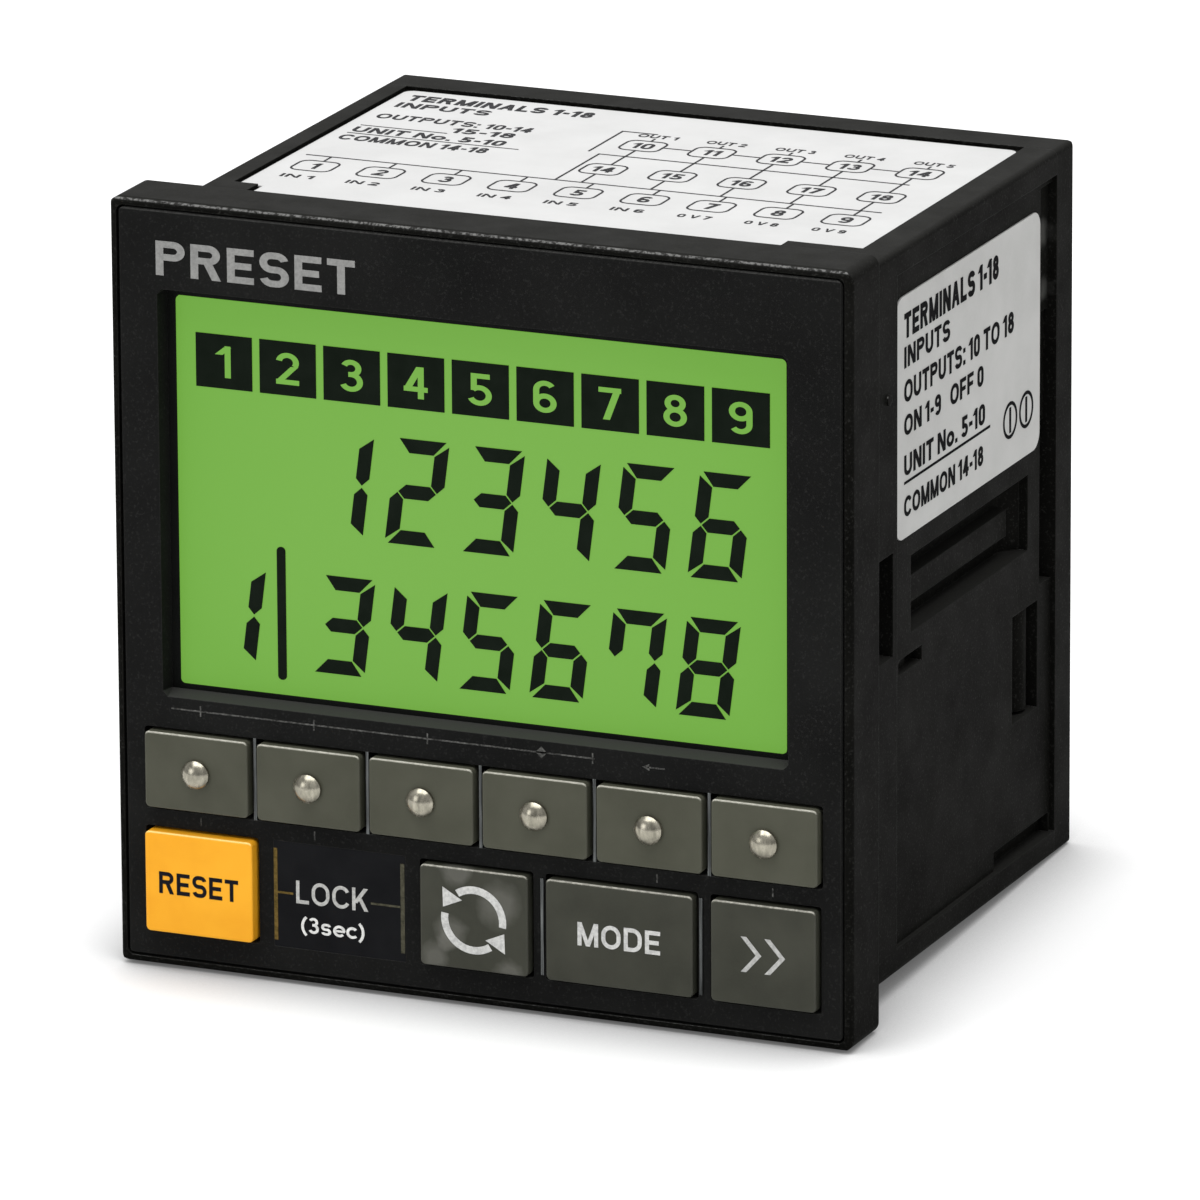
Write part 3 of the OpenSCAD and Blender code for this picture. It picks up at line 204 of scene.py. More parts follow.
# In these looks the pale edge colour is partly wear and partly a painted highlight, the crest colour is a
# painted highlight, and the dust colour is partly dust and partly painted light on faces that look up
plasticLooks = {
    "case_black": {
        "dark": (0.0032, 0.0032, 0.0028), "light": (0.0074, 0.0074, 0.0066), "patch": 9.0, "grain": 0.16,
        "rough": (0.36, 0.5), "bump": 0.35, "depth": 0.03, "rubbedAndLit": (0.026, 0.026, 0.024),
        "crestHighlight": (0.17, 0.17, 0.165), "ridge": (-0.494, -0.44), "broken": 0.1, "grit": (0.032, 0.032, 0.0295),
        "dustAndTopLight": (0.024, 0.024, 0.0225), "dustAndTopLightShare": 0.6, "mark": (0.085, 0.085, 0.08),
        # worn spots on the side, their paleness partly a painted sheen
        "marks": ((33.2, 47.5, 26.0, 1.8), (33.2, 47.6, 20.8, 1.5), (32.9, 13.4, -5.2, 0.7)),
        "shader": {"Specular_IOR_Level": 0.005}},
    "face_black": {
        "dark": (0.0062, 0.0063, 0.0062), "light": (0.0112, 0.0114, 0.011), "patch": 12.0, "grain": 0.14,
        "rough": (0.36, 0.5), "bump": 0.4, "depth": 0.03, "rubbedAndLit": (0.035, 0.035, 0.033),
        "crestHighlight": (0.05, 0.05, 0.048), "ridge": (-0.46, -0.3), "broken": 0.1, "grit": (0.026, 0.026, 0.025),
        "dustAndTopLight": (0.05, 0.05, 0.048), "dustAndTopLightShare": 0.8, "shader": {"Specular_IOR_Level": 0.02}},
    "display_mask": {
        "dark": (0.003, 0.0034, 0.003), "light": (0.005, 0.0056, 0.005), "patch": 6.0, "grain": 0.1,
        "rough": (0.6, 0.75), "bump": 0.15, "depth": 0.01, "shader": {"Specular_IOR_Level": 0.08}},
    "lock_field": {
        "dark": (0.0042, 0.0044, 0.0054), "light": (0.0075, 0.0078, 0.009), "patch": 3.5, "grain": 0.2,
        "rough": (0.28, 0.42), "bump": 0.12, "depth": 0.01, "shader": {"Specular_IOR_Level": 0.05}},
    "display_ink": {
        "dark": (0.0042, 0.0072, 0.0042), "light": (0.0066, 0.0102, 0.0066), "patch": 2.0, "grain": 0.1,
        "rough": (0.45, 0.6), "bump": 0.05, "depth": 0.005, "shader": {"Specular_IOR_Level": 0.03}},
    "light_guide": {
        "dark": (0.75, 0.82, 0.76), "light": (0.85, 0.9, 0.85), "patch": 5.0, "grain": 0.3,
        "rough": (0.08, 0.15), "bump": 0.03, "depth": 0.01, "shader": {"IOR": 1.49}},
    "led_white": {
        "dark": (0.8, 0.78, 0.62), "light": (0.92, 0.9, 0.78), "patch": 1.2, "grain": 0.1,
        "rough": (0.15, 0.3), "bump": 0.05, "depth": 0.01},
    "contact_rubber": {
        "dark": (0.08, 0.075, 0.08), "light": (0.13, 0.12, 0.13), "patch": 1.0, "grain": 0.08,
        "rough": (0.7, 0.85), "bump": 0.2, "depth": 0.02},
    "switch_black": {
        "dark": (0.012, 0.012, 0.012), "light": (0.025, 0.025, 0.025), "patch": 2.0, "grain": 0.1,
        "rough": (0.45, 0.6), "bump": 0.2, "depth": 0.01},
    "key_grey": {
        "dark": (0.058, 0.059, 0.042), "light": (0.078, 0.079, 0.058), "patch": 5.0, "grain": 0.14,
        "rough": (0.38, 0.55), "bump": 0.2, "depth": 0.012, "rubbedAndLit": (0.13, 0.13, 0.11), "line": 0.16,
        "crestHighlight": (0.55, 0.54, 0.47), "ridge": (-0.42, -0.15), "broken": 0.75,
        "shader": {"Specular_IOR_Level": 0.12}},
    # A darker copy of key_grey for the lower keys: painted shade, as less light falls on them
    "key_grey_low": {
        "dark": (0.035, 0.036, 0.027), "light": (0.05, 0.051, 0.039), "patch": 4.0, "grain": 0.14,
        "rough": (0.3, 0.5), "bump": 0.2, "depth": 0.012, "rubbedAndLit": (0.1, 0.1, 0.088), "line": 0.16,
        "crestHighlight": (0.5, 0.49, 0.43), "ridge": (-0.42, -0.15), "broken": 0.6,
        "shader": {"Specular_IOR_Level": 0.12}},
    "reset_orange": {
        "dark": (0.86, 0.36, 0.012), "light": (0.95, 0.44, 0.022), "patch": 6.0, "grain": 0.15,
        "rough": (0.32, 0.42), "bump": 0.1, "depth": 0.01, "rubbedAndLit": (0.95, 0.5, 0.06), "rub": 0.5,
        "crestHighlight": (1.0, 0.72, 0.25), "ridge": (-0.42, -0.15), "broken": 0.9, "speckle": 0.15,
        "shader": {"Specular_IOR_Level": 0.15}},
    "terminal_black": {
        "dark": (0.01, 0.01, 0.01), "light": (0.02, 0.02, 0.019), "patch": 4.0, "grain": 0.12,
        "rough": (0.4, 0.55), "bump": 0.25, "depth": 0.015, "rubbedAndLit": (0.05, 0.05, 0.048)},
    "chip_black": {
        "dark": (0.012, 0.012, 0.013), "light": (0.022, 0.022, 0.022), "patch": 2.5, "grain": 0.07,
        "rough": (0.55, 0.7), "bump": 0.3, "depth": 0.01},
    "relay_blue": {
        "dark": (0.02, 0.055, 0.2), "light": (0.03, 0.08, 0.27), "patch": 5.0, "grain": 0.2,
        "rough": (0.25, 0.38), "bump": 0.08, "depth": 0.01, "shader": {"Coat_Weight": 0.2}},
    "ferrite": {
        "dark": (0.03, 0.03, 0.034), "light": (0.065, 0.065, 0.068), "patch": 1.5, "grain": 0.12,
        "rough": (0.5, 0.75), "bump": 0.4, "depth": 0.03},
    "label_white": {
        "dark": (0.48, 0.48, 0.476), "light": (0.53, 0.53, 0.526), "patch": 7.0, "grain": 0.25,
        "rough": (0.38, 0.5), "bump": 0.05, "depth": 0.01, "speckle": 0.4},
    "label_grey": {
        "dark": (0.335, 0.335, 0.323), "light": (0.392, 0.392, 0.38), "patch": 8.0, "grain": 0.25,
        "rough": (0.38, 0.5), "bump": 0.05, "depth": 0.01, "speckle": 0.4},
}


# Plated and brushed metal: fine streaks along one axis

brushLook = {"bands": (0.3, 0.7), "dull": 0.35, "edge": 0.08}


def brushedMetal(name, look):
    material, tree, shader, place = startMaterial(name, Metallic=look.get("metallic", 1.0))
    scale = [1 / (size * mm) for size in look["streak"]]
    stretched = addNode(tree, "Mapping", {"Vector": place, "Scale": scale}).outputs[0]
    streaks = addNode(tree, "TexNoise", {"Vector": stretched, "Scale": 1.0, "Detail": 3.0}).outputs["Fac"]
    dull = spread(tree, noise(tree, place, look["patch"], 4.0), 0.0, brushLook["dull"])
    colour = ramp(tree, streaks, zip(brushLook["bands"], (look["dark"], look["light"])))
    tree.links.new(blendColour(tree, dull, colour, look["dark"]), shader.inputs["Base Color"])
    tree.links.new(spread(tree, streaks, *look["rough"]), shader.inputs["Roughness"])
    addBump(tree, shader, streaks, look["bump"], rounded=softEdge(tree, brushLook["edge"]))
    return material


metalLooks = {
    "divider_strip": {"dark": (0.03, 0.032, 0.032), "light": (0.2, 0.21, 0.21), "streak": (0.2, 0.2, 5.0),
                      "patch": 2.0, "rough": (0.32, 0.5), "bump": 0.2},
    "nub_metal": {"dark": (0.2, 0.19, 0.15), "light": (0.5, 0.47, 0.385), "streak": (0.5, 0.5, 1.6),
                  "patch": 0.8, "rough": (0.2, 0.3), "bump": 0.1, "metallic": 0.9},
    "screw_steel": {"dark": (0.42, 0.42, 0.4), "light": (0.66, 0.66, 0.62), "streak": (0.15, 2.0, 0.6),
                    "patch": 1.5, "rough": (0.25, 0.4), "bump": 0.2},
    "contact_brass": {"dark": (0.48, 0.36, 0.17), "light": (0.74, 0.58, 0.3), "streak": (0.3, 2.0, 0.15),
                      "patch": 2.5, "rough": (0.25, 0.42), "bump": 0.15},
}


# Display picture, lit from behind: a little brighter in the middle than along its edges

def litFilm(name, look):
    material, tree, shader, place = startMaterial(name, **look["shader"])
    low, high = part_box("lcd_glass")
    centre = (low + high) / 2
    axes = splitAxes(tree, place)
    offsets = []
    for axis, half in (("X", (high.x - low.x) / 2), ("Z", (high.z - low.z) / 2)):
        offset = mathNode(tree, "SUBTRACT", axes[axis], centre["XYZ".index(axis)])
        offset = mathNode(tree, "ABSOLUTE", mathNode(tree, "DIVIDE", offset, half))
        offsets.append(mathNode(tree, "POWER", offset, look["fall"]))
    edge = mathNode(tree, "ADD", *offsets)
    cloud = noise(tree, place, look["cloudSize"], 3.0)
    edge = mathNode(tree, "ADD", edge, spread(tree, cloud, -look["cloud"], look["cloud"]))
    lit = ramp(tree, edge, zip(look["bands"], (look["middle"], look["rim"])))
    grain = noise(tree, place, look["grain"], 2.0)
    lit = blendColour(tree, spread(tree, grain, 0.0, look["speckle"]), lit, look["rim"])
    tree.links.new(lit, shader.inputs["Emission Color"])
    shader.inputs["Base Color"].default_value = (*look["unlit"], 1)
    addBump(tree, shader, grain, look["bump"])
    return material


displayLook = {"middle": (0.176, 0.42, 0.056), "rim": (0.155, 0.4, 0.042), "unlit": (0.04, 0.1, 0.014),
               "bands": (0.0, 0.95), "fall": 3.0, "cloud": 0.12, "cloudSize": 14.0, "grain": 0.2,
               "speckle": 0.08, "bump": 0.08,
               "shader": {"Roughness": 0.42, "Specular_IOR_Level": 0.25, "Emission_Strength": 0.77}}


# Boards, winding and sleeves inside the case

def circuitBoard(name, look):
    material, tree, shader, place = startMaterial(name, Roughness=0.3, Specular_IOR_Level=0.5)
    wave = {"Vector": place, "Scale": look["tracks"], "Distortion": 3.0, "Detail": 0.0, "Detail Scale": 0.4}
    tracks = addNode(tree, "TexWave", wave, wave_type="BANDS", bands_direction="DIAGONAL").outputs["Fac"]
    colour = ramp(tree, tracks, zip(look["bands"], (look["mask"], look["copper"])))
    tree.links.new(colour, shader.inputs["Base Color"])
    addBump(tree, shader, tracks, look["bump"], look["depth"])
    return material


def woundTape(name, look):
    material, tree, shader, place = startMaterial(name, Specular_IOR_Level=0.5)
    wave = {"Vector": place, "Scale": look["turns"], "Distortion": 0.6, "Detail": 2.0}
    turns = addNode(tree, "TexWave", wave, bands_direction=look["along"]).outputs["Fac"]
    colour = ramp(tree, turns, zip(tapeLook["bands"], (look["dark"], look["light"])))
    tree.links.new(colour, shader.inputs["Base Color"])
    tree.links.new(spread(tree, turns, *tapeLook["rough"]), shader.inputs["Roughness"])
    addBump(tree, shader, turns, tapeLook["bump"], tapeLook["depth"])
    return material


boardLook = {"mask": (0.006, 0.05, 0.018), "copper": (0.012, 0.09, 0.03), "tracks": 180.0,
             "bands": (0.45, 0.55), "bump": 0.4, "depth": 0.03}
tapeLook = {"bands": (0.3, 0.7), "rough": (0.25, 0.4), "bump": 0.4, "depth": 0.05}
windingLook = {"dark": (0.36, 0.24, 0.03), "light": (0.6, 0.42, 0.06), "turns": 160.0, "along": "X"}
sleeveLook = {"dark": (0.008, 0.014, 0.05), "light": (0.016, 0.026, 0.085), "turns": 40.0, "along": "Z"}

finishes = {name: mouldedPlastic(name, look) for name, look in plasticLooks.items()}
finishes.update({name: brushedMetal(name, look) for name, look in metalLooks.items()})
finishes["display_green"] = litFilm("display_green", displayLook)
finishes["circuit_board"] = circuitBoard("circuit_board", boardLook)
finishes["winding_tape"] = woundTape("winding_tape", windingLook)
finishes["capacitor_sleeve"] = woundTape("capacitor_sleeve", sleeveLook)

# The cycle key is worn shiny in places, painted paler as wear and a painted sheen, given across and up from
# its centre with their reach
markLook = {"colour": (0.15, 0.148, 0.13),
            "places": ((2.3, 1.9, 2.3), (-2.1, -1.3, 1.8), (-2.4, -2.3, 1.1), (-4.0, -4.0, 1.8),
                       (3.6, -4.6, 1.5), (-1.6, 4.4, 1.6))}
cycle = centreOf("cycle_key")
cycleFront = boxOf("cycle_key")[0].y
# It starts from key_grey_low, whose darkness is painted shade
markedLook = {**plasticLooks["key_grey_low"], "mark": markLook["colour"], "marks": [
    (cycle.x + x, cycleFront, cycle.z + z, reach) for x, z, reach in markLook["places"]]}
finishes["key_grey_marked"] = mouldedPlastic("key_grey_marked", markedLook)

for part in frame["record"]["subparts"]:
    for materialSlot in frame["nodes"][part["node"]].material_slots:
        materialSlot.material = finishes[part["material_slot"]]


# Print is drawn flat in mm on a sheet of its own, then thickened and laid on its surface

printLook = {"thick": 0.03, "sunk": 0.01, "layer": 0.0012, "layers": 9, "space": 0.28}
faces = {  # right, up and outward directions of each face that carries print
    "front": ((1, 0, 0), (0, 0, 1), (0, -1, 0)),
    "top": ((1, 0, 0), (0, 1, 0), (0, 0, 1)),
    "side": ((0, 1, 0), (0, 0, 1), (1, 0, 0)),
}


def faceMatrix(face, surface):  # surface is the place of the printed face along its outward axis, in mm
    right, up, out = (Vector(axis) for axis in faces[face])
    turned = Matrix((right, up, out)).transposed().to_4x4()
    return Matrix.Scale(mm, 4) @ Matrix.Translation(out * surface) @ turned


# Plain grotesque letters on a body 1 high, from bars, slants and round bends. s is the stroke

def snake(w, h, s):
    r = (h + s) / 4
    return [("bend", r, h - r, r, 90, 180), ("bend", w - r, r, r, 270, 180), ("bar", r, h - s, w - r, h),
            ("bar", r, 0, w - r, s), ("bar", r, (h - s) / 2, w - r, (h + s) / 2),
            ("bend", w - r, h - r, r, 18, 72), ("bend", r, r, r, 198, 72)]


def letter(char, s):
    stem = ("bar", 0, 0, s, 1)
    low = 0.46  # underside of the upper bowl
    q = (low + s) / 2  # radius of the lower bowl
    mid = (1 - s) / 2  # underside of a middle bar
    bowl = 0.3 - s / 2  # from a numeral's centre to the middle of its stroke
    shapes = {
        "P": (0.72, [stem, ("bar", 0, 1 - s, 0.44, 1), ("bar", 0, 0.44, 0.44, 0.44 + s),
                     ("bend", 0.44, 0.72, 0.28, 270, 180)]),
        "R": (0.76, [stem, ("bar", 0, 1 - s, 0.45, 1), ("bar", 0, 0.44, 0.45, 0.44 + s),
                     ("bend", 0.45, 0.72, 0.28, 270, 180),
                     ("slant", 0.4, 0.44 + s / 2, 0.75 - s * 0.6, 0, 1.15)]),
        "F": (0.62, [stem, ("bar", 0, 1 - s, 0.62, 1), ("bar", 0, mid - 0.03, 0.56, mid + s - 0.03)]),
        "E": (0.66, [stem, ("bar", 0, 1 - s, 0.66, 1), ("bar", 0, mid, 0.6, mid + s),
                     ("bar", 0, 0, 0.66, s)]),
        "S": (0.72, snake(0.72, 1, s)),
        "T": (0.68, [("bar", 0, 1 - s, 0.68, 1), ("bar", 0.34 - s / 2, 0, 0.34 + s / 2, 1)]),
        "L": (0.6, [stem, ("bar", 0, 0, 0.6, s)]),
        "O": (0.84, [("bend", 0.42, 0.58, 0.42, 0, 180), ("bend", 0.42, 0.42, 0.42, 180, 180),
                     ("bar", 0, 0.42, s, 0.58), ("bar", 0.84 - s, 0.42, 0.84, 0.58)]),
        "C": (0.8, [("bend", 0.42, 0.58, 0.42, 28, 152), ("bend", 0.42, 0.42, 0.42, 180, 152),
                    ("bar", 0, 0.42, s, 0.58)]),
        "K": (0.76, [stem, ("slant", s * 0.9, 0.33, 0.74 - s * 0.6, 1, 1.35),
                     ("slant", 0.36, 0.55, 0.76 - s * 0.6, 0, 1.2)]),
        "M": (0.9, [stem, ("bar", 0.9 - s, 0, 0.9, 1), ("slant", s * 0.55, 1, 0.45, 0, 1.0),
                    ("slant", 0.9 - s * 0.55, 1, 0.45, 0, 1.0)]),
        "N": (0.76, [stem, ("bar", 0.76 - s, 0, 0.76, 1), ("slant", s * 0.6, 1, 0.76 - s * 0.6, 0, 1.15)]),
        "D": (0.78, [stem, ("bar", 0, 1 - s, 0.38, 1), ("bar", 0, 0, 0.38, s),
                     ("bend", 0.38, 0.6, 0.4, 0, 90), ("bend", 0.38, 0.4, 0.4, 270, 90),
                     ("bar", 0.78 - s, 0.4, 0.78, 0.6)]),
        "U": (0.74, [("bar", 0, 0.36, s, 1), ("bar", 0.74 - s, 0.36, 0.74, 1),
                     ("bend", 0.37, 0.37, 0.37, 180, 180)]),
        "I": (s, [stem]),
        "A": (0.76, [("slant", s * 0.5, 0, 0.38, 1, 1.05), ("slant", 0.76 - s * 0.5, 0, 0.38, 1, 1.05),
                     ("bar", 0.16, 0.24, 0.6, 0.24 + s * 0.85)]),
        "V": (0.74, [("slant", s * 0.5, 1, 0.37, 0, 1.05), ("slant", 0.74 - s * 0.5, 1, 0.37, 0, 1.05)]),
        "0": (0.6, [("bend", 0.3, 0.7, 0.3, 0, 180), ("bend", 0.3, 0.3, 0.3, 180, 180),
                    ("bar", 0, 0.3, s, 0.7), ("bar", 0.6 - s, 0.3, 0.6, 0.7)]),
        "1": (0.36, [("bar", 0.36 - s, 0, 0.36, 1), ("slant", 0.05, 0.72, 0.36 - s * 0.5, 0.96, 1.3)]),
        "2": (0.6, [("bend", 0.3, 0.7, 0.3, -35, 205), ("bar", 0, 0, 0.6, s),
                    ("slant", s * 0.7, s * 0.8, 0.3 + bowl * 0.82, 0.7 - bowl * 0.57, 1.25)]),
        "3": (0.6, [("bend", 0.29, 0.73, 0.27, -90, 245), ("bend", 0.29, q, q, -155, 245),
                    ("bar", 0.22, low, 0.29, low + s)]),
        "4": (0.62, [("bar", 0.52 - s, 0, 0.52, 1), ("bar", 0, 0.22, 0.62, 0.22 + s),
                     ("slant", s * 0.6, 0.3, 0.5 - s / 2, 1, 1.2)]),
        "5": (0.6, [("bar", 0.08, 1 - s, 0.55, 1), ("bar", 0.06, 0.47, 0.06 + s, 1),
                    ("bend", 0.28, 0.32, 0.32, -155, 290)]),
        "6": (0.6, [("bend", 0.3, 0.3, 0.3, 0, 360), ("bar", 0, 0.3, s, 0.7),
                    ("bend", 0.3, 0.7, 0.3, 35, 145)]),
        "7": (0.58, [("bar", 0, 1 - s, 0.58, 1), ("slant", 0.2, 0, 0.58 - s * 0.65, 1 - s / 2, 1.15)]),
        "8": (0.6, [("bend", 0.3, 0.73, 0.27, 0, 360), ("bend", 0.3, q, min(q, 0.3), 0, 360)]),
        "9": (0.6, [("bend", 0.3, 0.7, 0.3, 0, 360), ("bar", 0.6 - s, 0.3, 0.6, 0.7),
                    ("bend", 0.3, 0.3, 0.3, 215, 145)]),
        "s": (0.58, snake(0.58, 0.72, s * 0.92)),
        "c": (0.58, [("bend", 0.31, 0.36, 0.36, 42, 276)]),
        "e": (0.66, [("bend", 0.34, 0.36, 0.36, 0, 318),
                     ("bar", 0.06, 0.36 - s * 0.42, 0.7 - s * 0.2, 0.36 + s * 0.42)]),
        "o": (0.66, [("bend", 0.33, 0.36, 0.36, 0, 360)]),
        "(": (0.3, [("bend", 0.9, 0.42, 0.9, 136, 88)]),
        ")": (0.3, [("bend", -0.6, 0.42, 0.9, -44, 88)]),
        "-": (0.3, [("bar", 0, 0.34, 0.3, 0.34 + s)]),
        ".": (s, [("bar", 0, 0, s, s)]),
        ":": (s, [("bar", 0, 0, s, s), ("bar", 0, 0.55, s, 0.55 + s)]),
    }
    return shapes[char]


def addBar(sheet, x0, x1, y0, y1):
    bar = bmesh.ops.create_grid(sheet, x_segments=1, y_segments=1, size=0.5)["verts"]
    bmesh.ops.scale(sheet, vec=(x1 - x0, y1 - y0, 1), verts=bar)
    bmesh.ops.translate(sheet, vec=((x0 + x1) / 2, (y0 + y1) / 2, 0), verts=bar)


def addShape(sheet, points):
    sheet.faces.new([sheet.verts.new((x, y, 0)) for x, y in points])


def addRing(sheet, x, y, radius, stroke, start=0, sweep=360, steps=40):
    turn = math.radians(start)
    first = [sheet.verts.new((x + r * math.cos(turn), y + r * math.sin(turn), 0))
             for r in (radius - stroke, radius)]
    edge = sheet.edges.new(first)
    bmesh.ops.spin(sheet, geom=[*first, edge], cent=(x, y, 0), axis=(0, 0, 1), angle=math.radians(sweep),
                   steps=steps, use_merge=sweep >= 360)


def joinInto(sheet, drawn):
    mesh = bpy.data.meshes.new("drawn")
    drawn.to_mesh(mesh)
    drawn.free()
    sheet.from_mesh(mesh)
    bpy.data.meshes.remove(mesh)


def addFrame(sheet, x, y, width, height, radius, stroke):
    outline = bmesh.new()
    corners = bmesh.ops.create_grid(outline, x_segments=1, y_segments=1, size=0.5)["verts"]
    bmesh.ops.scale(outline, vec=(width, height, 1), verts=corners)
    bmesh.ops.bevel(outline, geom=corners, offset=radius, offset_type="OFFSET", segments=4, profile=0.5,
                    affect="VERTICES", material=-1)
    inner = bmesh.ops.inset_region(outline, faces=outline.faces[:], thickness=stroke, use_even_offset=True,
                                   use_boundary=True)
    keep = set(inner["faces"])
    bmesh.ops.delete(outline, geom=[f for f in outline.faces if f not in keep], context="FACES")
    bmesh.ops.translate(outline, vec=(x, y, 0), verts=outline.verts[:])
    joinInto(sheet, outline)


def addStroke(word, place, stroke, kind, values):
    if kind == "bar":
        x0, y0, x1, y1 = values
        addBar(word, place + x0, place + x1, y0, y1)
    elif kind == "bend":
        cx, cy, radius, start, sweep = values
        addRing(word, place + cx, cy, radius, stroke, start, sweep, max(4, sweep // 12))
    else:
        x0, y0, x1, y1, swell = values
        half = stroke * swell / 2
        addShape(word, [(place + x0 - half, y0), (place + x0 + half, y0), (place + x1 + half, y1),
                        (place + x1 - half, y1)])


def addText(sheet, words, x, y, height, width=None, anchor=0.5, stroke=0.15, gap=0.14):
    word = bmesh.new()
    place = layer = 0
    for char in words:
        if char == " ":
            place += printLook["space"]
            continue
        wide, strokes = letter(char, stroke)
        for kind, *values in strokes:
            addStroke(word, place, stroke, kind, values)
            for v in word.verts:  # strokes that cross lie a hair apart, so their faces don't coincide
                if not v.tag:
                    v.co.z = printLook["layer"] * (layer % printLook["layers"])
                    v.tag = True
            layer += 1
        place += wide + gap
    natural = place - gap
    wide = width / natural if width else height
    start = Matrix.Translation((x - anchor * natural * wide, y - height / 2, 0))
    bmesh.ops.transform(word, matrix=start @ Matrix.Diagonal((wide, height, 1, 1)), verts=word.verts[:])
    joinInto(sheet, word)


def layPrint(sheet, name, face, surface, material, body, thick=None):
    thick = thick or printLook["thick"]
    raised = bmesh.ops.extrude_face_region(sheet, geom=sheet.faces[:])["geom"]
    tops = [v for v in raised if isinstance(v, bmesh.types.BMVert)]
    bmesh.ops.translate(sheet, vec=(0, 0, thick + printLook["sunk"]), verts=tops)
    bmesh.ops.translate(sheet, vec=(0, 0, -printLook["sunk"]), verts=sheet.verts[:])
    bmesh.ops.recalc_face_normals(sheet, faces=sheet.faces[:])
    bmesh.ops.transform(sheet, matrix=faceMatrix(face, surface), verts=sheet.verts[:])
    mesh = bpy.data.meshes.new(name)
    sheet.to_mesh(mesh)
    sheet.free()
    mesh.materials.append(material)
    piece = bpy.data.objects.new(name, mesh)
    bpy.context.collection.objects.link(piece)
    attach(piece, body)


inkLook = {"specular": 0.06, "patch": 0.35, "bands": (0.35, 0.62), "bump": 0.2}


def inkFinish(name, dark, light, rough=0.55, wear=0.0):  # uneven cover, as from a screen
    material, tree, shader, place = startMaterial(name, Roughness=rough,
                                                  Specular_IOR_Level=inkLook["specular"])
    cover = noise(tree, place, inkLook["patch"], 4.0, 0.65)
    low, high = inkLook["bands"]
    colour = ramp(tree, cover, [(low + wear, dark), (high + wear, light)])
    tree.links.new(colour, shader.inputs["Base Color"])
    addBump(tree, shader, cover, inkLook["bump"])
    return material


inks = {  # worn dark tone, full tone, roughness, wear
    "title": inkFinish("ink_title_grey", (0.22, 0.22, 0.215), (0.285, 0.285, 0.276)),
    "legend": inkFinish("ink_legend_grey", (0.36, 0.36, 0.35), (0.52, 0.52, 0.5)),
    "bright": inkFinish("ink_bright_grey", (0.46, 0.46, 0.45), (0.64, 0.64, 0.62)),
    "pale": inkFinish("ink_pale", (0.6, 0.6, 0.59), (0.82, 0.82, 0.8)),
    "navy": inkFinish("ink_navy", (0.0035, 0.004, 0.008), (0.0065, 0.007, 0.0125)),
    "gold": inkFinish("ink_gold", (0.07, 0.048, 0.01), (0.16, 0.105, 0.028), 0.4),
    "olive": inkFinish("ink_olive", (0.035, 0.034, 0.022), (0.08, 0.076, 0.052), 0.4),
    "faint": inkFinish("ink_faint", (0.022, 0.022, 0.021), (0.12, 0.12, 0.113), 0.6, 0.03),
    "black": inkFinish("ink_black", (0.012, 0.012, 0.014), (0.03, 0.03, 0.032)),
    "jet": inkFinish("ink_jet", (0.0015, 0.0015, 0.002), (0.004, 0.004, 0.0045), 0.9),
}


# Front: title, window print and lock field, from the front's left and top edges in mm

plateLow, plateHigh = boxOf("face_plate")
plateFront = -plateLow.y
frontHalf = boxOf("front_bezel")[1].x


def fromCorner(u, v):
    return u - frontHalf, frontHalf - v


titleLook = {"place": (4.6, 5.3), "width": 19.6, "height": 3.2, "stroke": 0.19}
sheet = bmesh.new()
x, z = fromCorner(*titleLook["place"])
addText(sheet, "PRESET", x, z, titleLook["height"], titleLook["width"], 0.0, titleLook["stroke"])
layPrint(sheet, "title_print", "front", plateFront, inks["title"], "housing")

# Thin scale line under the window with its ticks
scaleLook = {"line": (5.5, 47.2, 47.4), "ticks": (8.4, 19.65, 30.85, 47.0), "arrow": (51.8, 54.0, 47.6),
             "lowTicks": ((8.3, 57.85), (19.6, 57.85), (53.2, 57.9), (64.4, 57.9)), "stroke": 0.14,
             "tick": 1.0, "lowTick": 0.8, "diamond": (42.0, 0.55), "arrowhead": (0.7, 0.32), "overlap": 0.2}
sheet = bmesh.new()
u0, u1, v = scaleLook["line"]
half = scaleLook["stroke"] / 2
(x0, z), (x1, _) = fromCorner(u0, v), fromCorner(u1, v)
addBar(sheet, x0, x1, z - half, z + half)
for u in scaleLook["ticks"]:
    x, _ = fromCorner(u, v)
    addBar(sheet, x - half, x + half, z - scaleLook["tick"] / 2, z - half)
    addBar(sheet, x - half, x + half, z + half, z + scaleLook["tick"] / 2)
u, size = scaleLook["diamond"]
x, _ = fromCorner(u, v)
addShape(sheet, [(x - size, z), (x, z - size), (x + size, z), (x, z + size)])
u0, u1, v = scaleLook["arrow"]
(x0, z), (x1, _) = fromCorner(u0, v), fromCorner(u1, v)
headLength, headHalf = scaleLook["arrowhead"]
addBar(sheet, x0 + headLength - scaleLook["overlap"], x1, z - half, z + half)
addShape(sheet, [(x0, z), (x0 + headLength, z - headHalf), (x0 + headLength, z + headHalf)])
for u, v in scaleLook["lowTicks"]:
    x, z = fromCorner(u, v)
    addBar(sheet, x - half, x + half, z - scaleLook["lowTick"] / 2, z + scaleLook["lowTick"] / 2)
layPrint(sheet, "scale_print", "front", plateFront, inks["faint"], "housing")

